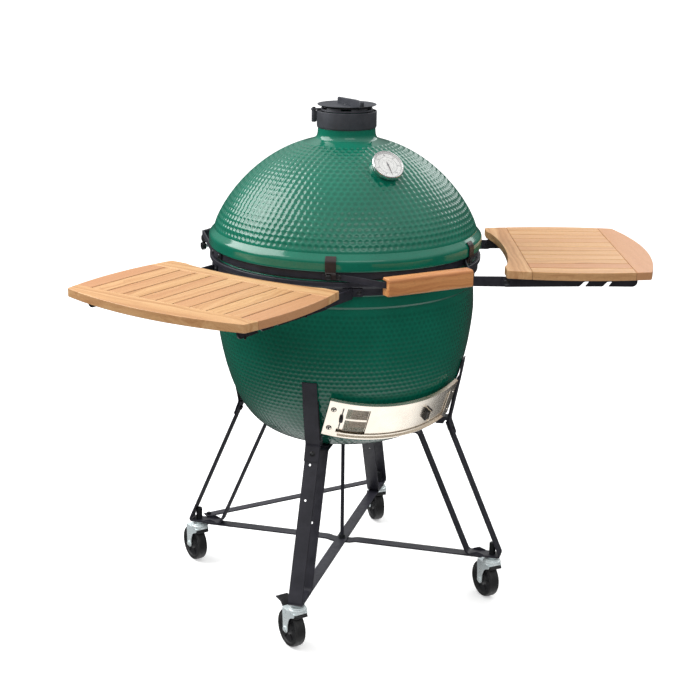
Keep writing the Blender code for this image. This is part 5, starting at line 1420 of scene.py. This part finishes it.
def clamp(word, azimuth):
    """Clamp at a leg's top: a folded strap up the bowl with its rubber pad, a lug and a bolt."""
    frame = upright_plane(azimuth)
    slope = (LEG_FOOT_OUTER - LEG_TOP[0]) / (LEG_TOP[1] - FOOT_Z)
    gap = (STRIP / 2 + 0.0015 + 0.0003) * math.hypot(1.0, slope)
    start = (LEG_TOP[0] + gap + slope * 0.036, LEG_TOP[1] - 0.036)
    knee = (LEG_TOP[0] + gap + 0.0012, LEG_TOP[1] + 0.0030)
    path = rounded([start, (*knee, 0.006), (0.3140, 0.6280, 0.05), (0.3205, 0.6700)], 0.01, False)
    strap = plate("strap", [strip_loop(path, 0.003)], CLAMP_WIDTH, COAT, frame, 0.0008, 2)
    lug = [(knee[0] + 0.0010, 0.4995), (0.2770, 0.4995), (0.2750, 0.4900, 0.003), (0.2540, 0.4890, 0.004),
           (0.2515, 0.4990, 0.003), (0.2580, 0.5150, 0.003), (0.2630, 0.5170, 0.002),
           (0.2740, 0.5080, 0.003), (knee[0] + 0.0020, 0.5080)]
    tongue = plate("lug", [rounded(lug[::-1], 0.0)], CLAMP_WIDTH - 0.008, COAT, frame, 0.001, 2)
    shapes = [strap, tongue]
    pad = [(knee[0] - 0.0009 + (0.3140 - knee[0]) * t - 0.0029, knee[1] + (0.6280 - knee[1]) * t)
           for t in (0.10, 0.94)]
    shapes.append(plate("pad", [strip_loop(pad, 0.0024)], CLAMP_WIDTH + 0.0018, RUBBER, frame, 0.0004))
    # Rubber teeth along both edges of the strap make a jagged dark edge: painted shadow of the strap on the
    # dented glaze.
    for i in range(16):
        t = 0.12 + 0.05 * i
        z = knee[1] + (0.6280 - knee[1]) * t
        x = knee[0] - 0.0038 + (0.3140 - knee[0]) * t
        for side in (-1, 1):
            low = (x - 0.0011, z - 0.0022, side * CLAMP_WIDTH / 2 - 0.0014)
            high = (x + 0.0011, z + 0.0022, side * CLAMP_WIDTH / 2 + 0.0022)
            shapes.append(block("strap_shadow_tooth", low, high, RUBBER, frame, 0.0005))
    face = STRIP / 2 + 0.0003 + 0.003
    shapes.append(round_head("bolt", 0.0068, 0.0036, BLACK, frame @ on_leg(0.4755, face, -0.002), BOLT))
    shapes.append(hex_nut("nut", 0.012, 0.005, BOLT, frame @ on_leg(0.4755, -STRIP / 2, -0.002) @
                          Matrix.Rotation(math.pi, 4, "X")))
    attach(shapes, STAND, "black_coat", "clamp_" + word)


def flat_bar(name, azimuth, half_length, low, high):
    """A flat bar through the middle of the stand, along an azimuth."""
    turn = Matrix.Rotation(math.radians(azimuth - 90), 4, "Z")
    return block(name, (-half_length, -BAR_WIDTH / 2, low), (half_length, BAR_WIDTH / 2, high), COAT, turn,
                 0.0006)


def stand_bars():
    """The lower cross, the rear brace, the upper cross and the centre post."""
    upper = FOOT_Z - STRIP / 2 - 0.0003 - CROSS_BAR / 2
    lower = upper - CROSS_BAR - 0.0003
    bar = flat_bar("bar", STAND_TURN - 45, BAR_REACH, upper - CROSS_BAR / 2, upper + CROSS_BAR / 2)
    shapes = [bar]
    for side in (-1, 1):
        for reach in (0.374, 0.386):
            spot = radial(STAND_TURN - 45) * side * reach
            shapes.append(round_head("rivet", 0.0040, 0.0016, BOLT,
                                     facing(spot + Vector((0, 0, upper - CROSS_BAR / 2)), (0, 0, -1))))
    attach(shapes, STAND, "black_coat", "lower_bar_upper")
    joggle = [(0.025, lower, 0.006), (0.040, upper, 0.006), (BAR_REACH, upper)]
    path = [(-p[0], *p[1:]) for p in joggle[::-1]] + joggle
    bar = plate("bar", [strip_loop(rounded(path, 0.006, False), CROSS_BAR)], BAR_WIDTH, COAT,
                upright_plane(STAND_TURN + 45), 0.0006)
    attach([bar], STAND, "black_coat", "lower_bar_lower")

    turn = Matrix.Rotation(math.radians(STAND_TURN), 4, "Z")
    plate_top = FOOT_Z + STRIP / 2 + 0.0003
    shapes = [block("brace", (-0.272, 0.288, plate_top), (0.272, 0.312, plate_top + CROSS_BAR), COAT, turn,
                    0.0006)]
    for side in (-1, 1):
        spot = turn @ Vector((side * 0.262, 0.300, plate_top + CROSS_BAR))
        shapes.append(hex_nut("bolt", 0.011, 0.005, BOLT, facing(spot, (0, 0, 1))))
    attach(shapes, STAND, "black_coat", "rear_brace")

    base = LEG_INNER_TOP[1] + STRIP / 2 + 0.0003
    cross = flat_bar("cross", STAND_TURN - 45, 0.200, base, base + CROSS_BAR)
    cut(cross, flat_bar("arm", STAND_TURN + 45, 0.200, base, base + CROSS_BAR), "UNION")
    attach([cross], STAND, "black_coat", "upper_cross")

    low = lower + CROSS_BAR / 2 + 0.0003
    post = turned("post", [(0.0, base - 0.0003), (POST_RADIUS, base - 0.0003, 0.0006), (POST_RADIUS, low,
                                                                                        0.0006),
                           (0.0, low)], COAT, 32, soft=0.0005, closed=False)
    nut = hex_nut("nut", 0.016, 0.007, BOLT, lifted(upper + CROSS_BAR / 2 + 0.0004))
    washer = turned("washer", [(0.0115, 0.0), (0.0115, 0.0014), (0.0052, 0.0014), (0.0052, 0.0)], BOLT, 32,
                    lifted(upper + CROSS_BAR / 2 + 0.0002), 0.0003)
    nut.location.z += 0.0014
    attach([post, nut, washer], STAND, "black_coat", "centre_post")


# ================================================================ casters
def caster(word, azimuth):
    """Swivel caster: fork with its ball race, stem and axle bolt; wheel with a recessed hub; brake pedal."""
    place = Matrix.Translation(radial(azimuth) * CASTER_REACH)
    place = place @ Matrix.Rotation(math.radians(CASTER_HEADINGS[word]), 4, "Z")
    across = Matrix.Rotation(math.radians(90), 4, "X")
    axle = place @ Matrix.Translation((CASTER_TRAIL, 0, WHEEL_RADIUS)) @ across
    crown = [(-0.0200, -0.0205, 0.008), (0.0420, -0.0205, 0.005), (0.0420, 0.0205, 0.005),
             (-0.0200, 0.0205, 0.008)]
    shapes = [plate("crown", [rounded(crown, 0.005)], 0.003, ZINC, place @ lifted(0.105),
                    0.0010, 2)]
    cheek = [(-0.0160, 0.1060), (-0.0150, 0.0960, 0.004), (0.0080, 0.0860, 0.012), (0.0165, 0.0680, 0.012)]
    cheek += arc((CASTER_TRAIL, WHEEL_RADIUS), 0.0108, 170, 370, 18)
    cheek += [(0.0400, 0.0800, 0.012), (0.0420, 0.0950, 0.004), (0.0400, 0.1060)]
    for side in (-1, 1):
        frame = place @ Matrix.Translation((0, side * 0.0185, 0)) @ across
        shapes.append(plate("cheek", [rounded(cheek, 0.0)], 0.003, ZINC, frame, 0.0008, 2))
    race = turned("race", [
        (0.0, 0.1200), (0.0195, 0.1200, 0.002), (0.0205, 0.1170, 0.001), (0.0200, 0.1158, 0.0006),
        (0.0232, 0.1146, 0.002), (0.0240, 0.1100, 0.003), (0.0222, 0.1068, 0.001), (0.0222, 0.1055),
        (0.0, 0.1055)], ZINC, SMALL_STEPS, place, 0.0006, False)
    shoulder = turned("shoulder", [(0.0, FORK_TOP), (0.0105, FORK_TOP, 0.001), (0.0110, 0.1195),
                                   (0.0, 0.1195)],
                      ZINC, 32, place, 0.0005, False)
    thread = []
    for i in range(22):
        z = 0.1262 + 0.0015 * i
        thread += [(STEM_RADIUS, z), (STEM_RADIUS - 0.0006, z + 0.00075)]
    stem = turned("stem", [(0.0, 0.1250)] + [(STEM_RADIUS, 0.1250)] + thread + [(0.0, 0.1592)], ZINC, 24,
                  place, closed=False)
    shapes += [race, shoulder, stem]
    shapes.append(hex_nut("axle_head", 0.0115, 0.0032, ZINC, axle @ lifted(0.0200)))
    shapes.append(hex_nut("axle_nut", 0.0115, 0.0032, ZINC, axle @ lifted(-0.0232)))
    shapes.append(rod("axle", 0.0045, 0.0228, ZINC, 24, axle, 0.0005))
    guard = arc((CASTER_TRAIL, WHEEL_RADIUS), WHEEL_RADIUS + 0.0016, 92, 132, 12)
    guard += [(-0.0230, 0.0950, 0.002), (-0.0225, 0.1010, 0.003), (-0.0150, 0.1036), (0.0262, 0.1036)]
    shapes.append(plate("guard", [rounded(guard, 0.0)], 0.0330, PLASTIC, place @ across, 0.0008))
    attach(shapes, "caster_" + word, "zinc", "caster_fork_" + word)

    half, rim = WHEEL_WIDTH / 2, WHEEL_RADIUS
    tread = [(rim - 0.0095, half - 0.001, 0.001), (rim - 0.0040, half, 0.002), (rim - 0.0006, half - 0.004,
                                                                                0.004),
             (rim, 0.0, 0.02), (rim - 0.0006, 0.004 - half, 0.004), (rim - 0.0040, -half, 0.002),
             (rim - 0.0095, 0.001 - half, 0.001)]
    hub = [(0.0300, 0.0060 - half, 0.002), (0.0190, 0.0055 - half, 0.002), (0.0125, 0.0005 - half, 0.002),
           (0.0050, -half), (0.0050, half), (0.0125, half - 0.0005, 0.002), (0.0190, half - 0.0055, 0.002),
           (0.0300, half - 0.0060, 0.002)]
    wheel = turned("tread", tread + [(rim - 0.0125, 0.0035 - half, 0.002), (rim - 0.0125, half - 0.0035,
                                                                            0.002)],
                   RUBBER, 120, axle, 0.001)
    core = turned("hub", [(rim - 0.0120, half - 0.0036), (rim - 0.0120, 0.0036 - half)] + hub, PLASTIC, 96,
                  axle, 0.0008)
    ribs = []
    for i in range(6):
        turn = axle @ Matrix.Rotation(math.tau * i / 6, 4, "Z")
        for low in (half - 0.0064, 0.0032 - half):
            ribs.append(block("rib", (0.0180, -0.0012, low), (0.0385, 0.0012, low + 0.0032), PLASTIC, turn,
                              0.0005))
    attach([wheel, core] + ribs, "wheel_" + word, "rubber", "caster_wheel_" + word)

    if word == "front_left":
        shape = arc(PEDAL_PIVOT, 0.0024, 130, 320, 10)
        shape += [(0.0545, 0.1125, 0.003), (0.0780, 0.1148, 0.001), (0.0800, 0.1152), (0.0800, 0.1178),
                  (0.0520, 0.1160, 0.003)]
        frame = place @ across
        shapes = [plate("pedal", [rounded(shape, 0.0008)], 0.0340, PLASTIC, frame, 0.0008, 2)]
        for i in range(5):
            x = 0.0570 + 0.0046 * i
            z = 0.1160 + (x - 0.0520) * 0.0018 / 0.028
            shapes.append(block("ridge", (x - 0.0009, -0.0145, z - 0.0006), (x + 0.0009, 0.0145, z + 0.0008),
                                PLASTIC, place, 0.0004))
        attach(shapes, "brake_pedal", "black_plastic", "brake_pedal")


# ================================================================ shelves
def shelf_frame(side, azimuth):
    """Frame of a shelf: X along it, towards the front of the grill, Y outwards, Z up or down."""
    out = radial(azimuth)
    front = Vector((0, 0, 1)).cross(out) * -side
    made = Matrix((front, out, front.cross(out))).transposed().to_4x4()
    made.translation = (0, 0, SHELF_TOP - SHELF_THICKNESS / 2)
    return made


def shelf_side(y):
    """Half length of a shelf at a distance outwards: its ends are bowed."""
    t = (y - SHELF_INNER) / (SHELF_OUTER - SHELF_INNER)
    return SHELF_INNER_HALF + (SHELF_OUTER_HALF - SHELF_INNER_HALF) * t + 4 * SHELF_SIDE_SAG * t * (1 - t)


def shelf_boards():
    """Loose outlines of a shelf's boards: inner and outer end boards, and the slats between."""
    joint = 0.0008
    bite = 0.205
    inner = [(-SHELF_INNER_HALF, SHELF_INNER, 0.004), (-bite - 0.010, SHELF_INNER)]
    inner += [(x, SHELF_INNER + SHELF_INNER_SAG * (1 - (x / bite) ** 2) ** 0.75)
              for x in (bite * (i / 14 - 1) for i in range(29))]
    inner += [(bite + 0.010, SHELF_INNER), (SHELF_INNER_HALF, SHELF_INNER, 0.004)]
    inner += [(shelf_side(y), y) for y in (0.405, 0.425, SLOT_INNER - joint)]
    inner += [(-shelf_side(y), y) for y in (SLOT_INNER - joint, 0.425, 0.405)]
    outer = [(shelf_side(y), y) for y in (SLOT_OUTER + joint, 0.715, 0.728)]
    outer += [(SHELF_OUTER_HALF, SHELF_OUTER, 0.005)]
    outer += bowed((SHELF_OUTER_HALF, SHELF_OUTER), (-SHELF_OUTER_HALF, SHELF_OUTER), SHELF_OUTER_SAG,
                   24)[1:]
    outer += [(-SHELF_OUTER_HALF, SHELF_OUTER, 0.005)]
    outer += [(-shelf_side(y), y) for y in (0.728, 0.715, SLOT_OUTER + joint)]
    boards = [(rounded(inner, 0.0), True), (rounded(outer, 0.0), True)]
    levels = [SLOT_INNER + (SLOT_OUTER - SLOT_INNER) * i / 8 for i in range(9)]
    for i in range(SLOTS + 1):
        left = (i - SLOTS / 2 - 0.5) * SLOT_PITCH + SLOT_WIDTH / 2
        right = left + SLOT_PITCH - SLOT_WIDTH
        low = [(left, SLOT_INNER), (left, SLOT_OUTER)] if i else [(-shelf_side(y), y) for y in levels]
        high = [(right, SLOT_OUTER), (right, SLOT_INNER)] if i < SLOTS else \
            [(shelf_side(y), y) for y in levels[::-1]]
        boards.append((low + high, False))
    return boards


def shelf(word, side):
    """A slatted shelf with its arms, and its brackets on the lower band."""
    azimuth = side * SHELF_AZIMUTH
    frame = shelf_frame(side, azimuth)
    body = "shelf_" + word
    boards = []
    for i, (outline, end_board) in enumerate(shelf_boards()):
        board = plate("board", [outline[::-1]], SHELF_THICKNESS, SHELF_WOOD, frame, 0.0016, 2)
        tint = BOARD_TINTS[i if side < 0 else -i]
        shift = (0.37 * i + 0.1 * side, 0.21 * i, 0.13 * i)
        directions = ((1, 0, 0), (0, 1, 0)) if end_board else ((0, 1, 0), (1, 0, 0))
        boards.append(grained(board, *directions, tint, shift))
    # Near-black blocks sit in the slots between the slats, below the tops of the boards: painted shade
    # inside the gaps.
    for i in range(SLOTS):
        x = (i - (SLOTS - 1) / 2) * SLOT_PITCH
        gap_shade_block = block("gap_shade_block", (x - SLOT_WIDTH / 2 - 0.0008, SLOT_INNER - 0.001, -0.0085),
                       (x + SLOT_WIDTH / 2 + 0.0008, SLOT_OUTER + 0.001, 0.0055), GAP_SHADE_WOOD, frame, 0)
        for vertex in gap_shade_block.data.vertices:
            vertex.co.z *= -side
        boards.append(grained(gap_shade_block, (0, 1, 0), (1, 0, 0), 0.0, (0.1 * i, 0.0, 0.0)))
    attach(boards, body, "shelf_wood", "shelf_" + word)

    arm_top = SHELF_TOP - SHELF_THICKNESS - 0.0003
    arm_shape = arc((PIVOT_REACH, PIVOT_Z), 0.0120, 100, 270, 16)
    arm_shape += [(0.4300, 0.8915, 0.01), (0.5720, 0.8935, 0.002), (0.5840, 0.9060, 0.003),
                  (0.5960, 0.9060, 0.003), (0.5860, 0.8935, 0.002), (0.6290, 0.8938, 0.002),
                  (0.6410, 0.9060, 0.003), (0.6530, 0.9060, 0.003), (0.6430, 0.8938, 0.002)]
    arm_shape += arc((0.7020, 0.9067), 0.0130, -90, 45, 12) + [(0.7000, arm_top), (0.4120, arm_top)]
    for end, sign in (("front", 1), ("rear", -1)):
        arm = plate("arm", [rounded(arm_shape, 0.0)], 0.004, COAT,
                    upright_plane(azimuth, -side * sign * ARM_OFFSET), 0.0006)
        place = upright_plane(azimuth, -side * sign * ARM_OFFSET) @ Matrix.Translation((PIVOT_REACH, PIVOT_Z,
                                                                                        0))
        pin = turned("pin", [(0.0, 0.0110), (0.0040, 0.0110), (0.0040, -0.0110), (0.0, -0.0110)], BOLT, 24,
                     upright_plane(azimuth, -side * sign * (ARM_OFFSET - 0.005)) @
                     Matrix.Translation((PIVOT_REACH, PIVOT_Z, 0)) @ Matrix.Diagonal((1, 1, 0.56, 1)),
                     0.0004, False)
        outwards = place if -side * sign > 0 else place @ Matrix.Rotation(math.pi, 4, "X")
        head = round_head("head", 0.0075, 0.0034, BOLT, outwards @ lifted(0.0019), COAT)
        shapes = [arm, pin, head]
        for reach in (0.470, 0.690):
            spot = Matrix.Translation((reach - PIVOT_REACH, 0.9125 - PIVOT_Z, 0.0019))
            shapes.append(round_head("screw", 0.0040, 0.0018, BOLT, outwards @ spot))
        attach(shapes, body, "black_coat", f"shelf_arm_{word}_{end}")
        shelf_bracket(f"shelf_bracket_{word}_{end}", azimuth, side * sign)


def shelf_bracket(node, azimuth, turn):
    """Bracket bolted to the lower band: a plate curved to the band with a cheek for the arm."""
    offset = ARM_OFFSET - 0.0055
    cheek_shape = [(0.2765, 0.8915), (0.3800, 0.8905)] + arc((PIVOT_REACH, PIVOT_Z), 0.0125, -90, 90, 16) + \
        [(0.3800, 0.9160), (0.2765, 0.9160)]
    hole = ring_loop((PIVOT_REACH, PIVOT_Z), 0.0045, 24)
    cheek = plate("cheek", [cheek_shape, hole], 0.0045, COAT, upright_plane(azimuth, -turn * offset), 0.0006)
    swing = math.degrees(math.asin(offset / (BAND_OUTER + 0.003)))
    middle = azimuth + turn * swing
    reach = BAND_OUTER + 0.0026
    bow = [tuple((radial(middle + step) * reach).xy) for step in (-4.0, -3, -2, -1, 0, 1, 2, 3, 4.0)]
    back = plate("back", [strip_loop(bow, 0.0040)], 0.0200, COAT, lifted(0.9065), 0.0006)
    shapes = [cheek, back]
    for step in (-2.6, 2.6):
        out = radial(middle + step)
        spot = out * (reach + 0.0020) + Vector((0, 0, 0.9065))
        shapes.append(round_head("bolt", 0.0052, 0.0026, BLACK, facing(spot, out), COAT))
    attach(shapes, STAND, "black_coat", node)


# ================================================================ camera, light and floor
def camera():
    """Camera a little above the lid, in front of the grill and to its left."""
    azimuth, pitch, roll = (math.radians(turn) for turn in CAMERA_TURNS)
    ahead = Vector((math.sin(azimuth) * math.cos(pitch), math.cos(azimuth) * math.cos(pitch),
                    -math.sin(pitch)))
    right = ahead.cross(Vector((0, 0, 1))).normalized()
    up = right.cross(ahead)
    across = right * math.cos(roll) + up * math.sin(roll)
    upright = up * math.cos(roll) - right * math.sin(roll)
    data = bpy.data.cameras.new("camera")
    data.lens, data.sensor_width = CAMERA_LENS, 36.0
    data.shift_x, data.shift_y = -0.001, -0.002
    holder = bpy.data.objects.new("camera", data)
    holder.matrix_world = Matrix((across, upright, -ahead)).transposed().to_4x4()
    holder.location = CAMERA_PLACE
    bpy.context.scene.collection.objects.link(holder)
    bpy.context.scene.camera = holder


def softbox(name, place, target, size, power):
    """A soft rectangular lamp turned towards a target."""
    data = bpy.data.lights.new(name, "AREA")
    data.shape = "RECTANGLE"
    data.size, data.size_y = size
    data.energy = power
    holder = bpy.data.objects.new(name, data)
    turn = (Vector(target) - Vector(place)).to_track_quat("-Z", "Y").to_matrix().to_4x4()
    holder.matrix_world = Matrix.Translation(place) @ turn
    bpy.context.scene.collection.objects.link(holder)


def surroundings():
    """Plain white room: bright to the eye, a little darker in reflections."""
    world = bpy.data.worlds.new("studio")
    world.use_nodes = True
    bpy.context.scene.world = world
    nodes, links = world.node_tree.nodes, world.node_tree.links
    paths = nodes.new("ShaderNodeLightPath")
    out = nodes["World Output"]
    plain = nodes["Background"]
    room = nodes.new("ShaderNodeBackground")
    where = nodes.new("ShaderNodeTexCoord")
    split = nodes.new("ShaderNodeSeparateXYZ")
    links.new(where.outputs["Generated"], split.inputs[0])
    for box, levels in ((plain, ROOM_LIGHT), (room, ROOM_SHINE)):
        height = nodes.new("ShaderNodeMapRange")
        height.inputs["From Min"].default_value = -1.0
        links.new(split.outputs["Z"], height.inputs["Value"])
        levels_ramp = nodes.new("ShaderNodeValToRGB")
        stops = levels_ramp.color_ramp.elements
        for i, (z, level) in enumerate(levels):
            stop = stops[i] if i < 2 else stops.new((z + 1) / 2)
            stop.position = (z + 1) / 2
            stop.color = (level / BRIGHTEST, level / BRIGHTEST, level / BRIGHTEST, 1.0)
        links.new(height.outputs[0], levels_ramp.inputs["Fac"])
        links.new(levels_ramp.outputs["Color"], box.inputs["Color"])
        box.inputs["Strength"].default_value = BRIGHTEST
    view = nodes.new("ShaderNodeBackground")
    view.inputs["Color"].default_value = (1.0, 1.0, 1.0, 1.0)
    view.inputs["Strength"].default_value = 1.05
    glossy = nodes.new("ShaderNodeMixShader")
    links.new(paths.outputs["Is Glossy Ray"], glossy.inputs[0])
    links.new(plain.outputs[0], glossy.inputs[1])
    links.new(room.outputs[0], glossy.inputs[2])
    seen = nodes.new("ShaderNodeMixShader")
    links.new(paths.outputs["Is Camera Ray"], seen.inputs[0])
    links.new(glossy.outputs[0], seen.inputs[1])
    links.new(view.outputs[0], seen.inputs[2])
    links.new(seen.outputs[0], out.inputs["Surface"])
    for lamp in LAMPS:
        softbox(*lamp)


def floor():
    """Plain white floor."""
    paint = Paint("studio_floor", (0.93, 0.93, 0.93), 0.9, Specular_IOR_Level=0.1, Emission_Strength=0.34)
    paint.shader.inputs["Emission Color"].default_value = (1.0, 1.0, 1.0, 1.0)
    paint.colour(paint.mix(paint.noise(2.0, 2.0), (0.925, 0.925, 0.925), (0.935, 0.935, 0.935)))
    work = bmesh.new()
    bmesh.ops.create_grid(work, x_segments=1, y_segments=1, size=30.0)
    mesh = bpy.data.meshes.new("floor")
    work.to_mesh(mesh)
    work.free()
    item = new_object("floor", mesh, paint.material)
    item.location.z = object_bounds()[0].z - 0.0005
    item.visible_glossy = False
    item.visible_diffuse = False
    item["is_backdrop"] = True


# ================================================================ the grill
GAUGE_FRAME = gauge_frame()
DOOR_FRAME = door_frame_matrix()

base_ceramic()
dome_ceramic()
inside_parts()
bands_and_seals()
hinge()
handle()
vents()
thermometer()
draft_door()
for leg_word, leg_azimuth in LEG_AZIMUTHS.items():
    leg(leg_word, leg_azimuth)
    clamp(leg_word, leg_azimuth)
    caster(leg_word, leg_azimuth)
stand_bars()
shelf("left", -1)
shelf("right", 1)

camera()
surroundings()
floor()
bpy.context.scene.view_settings.view_transform = "Standard"
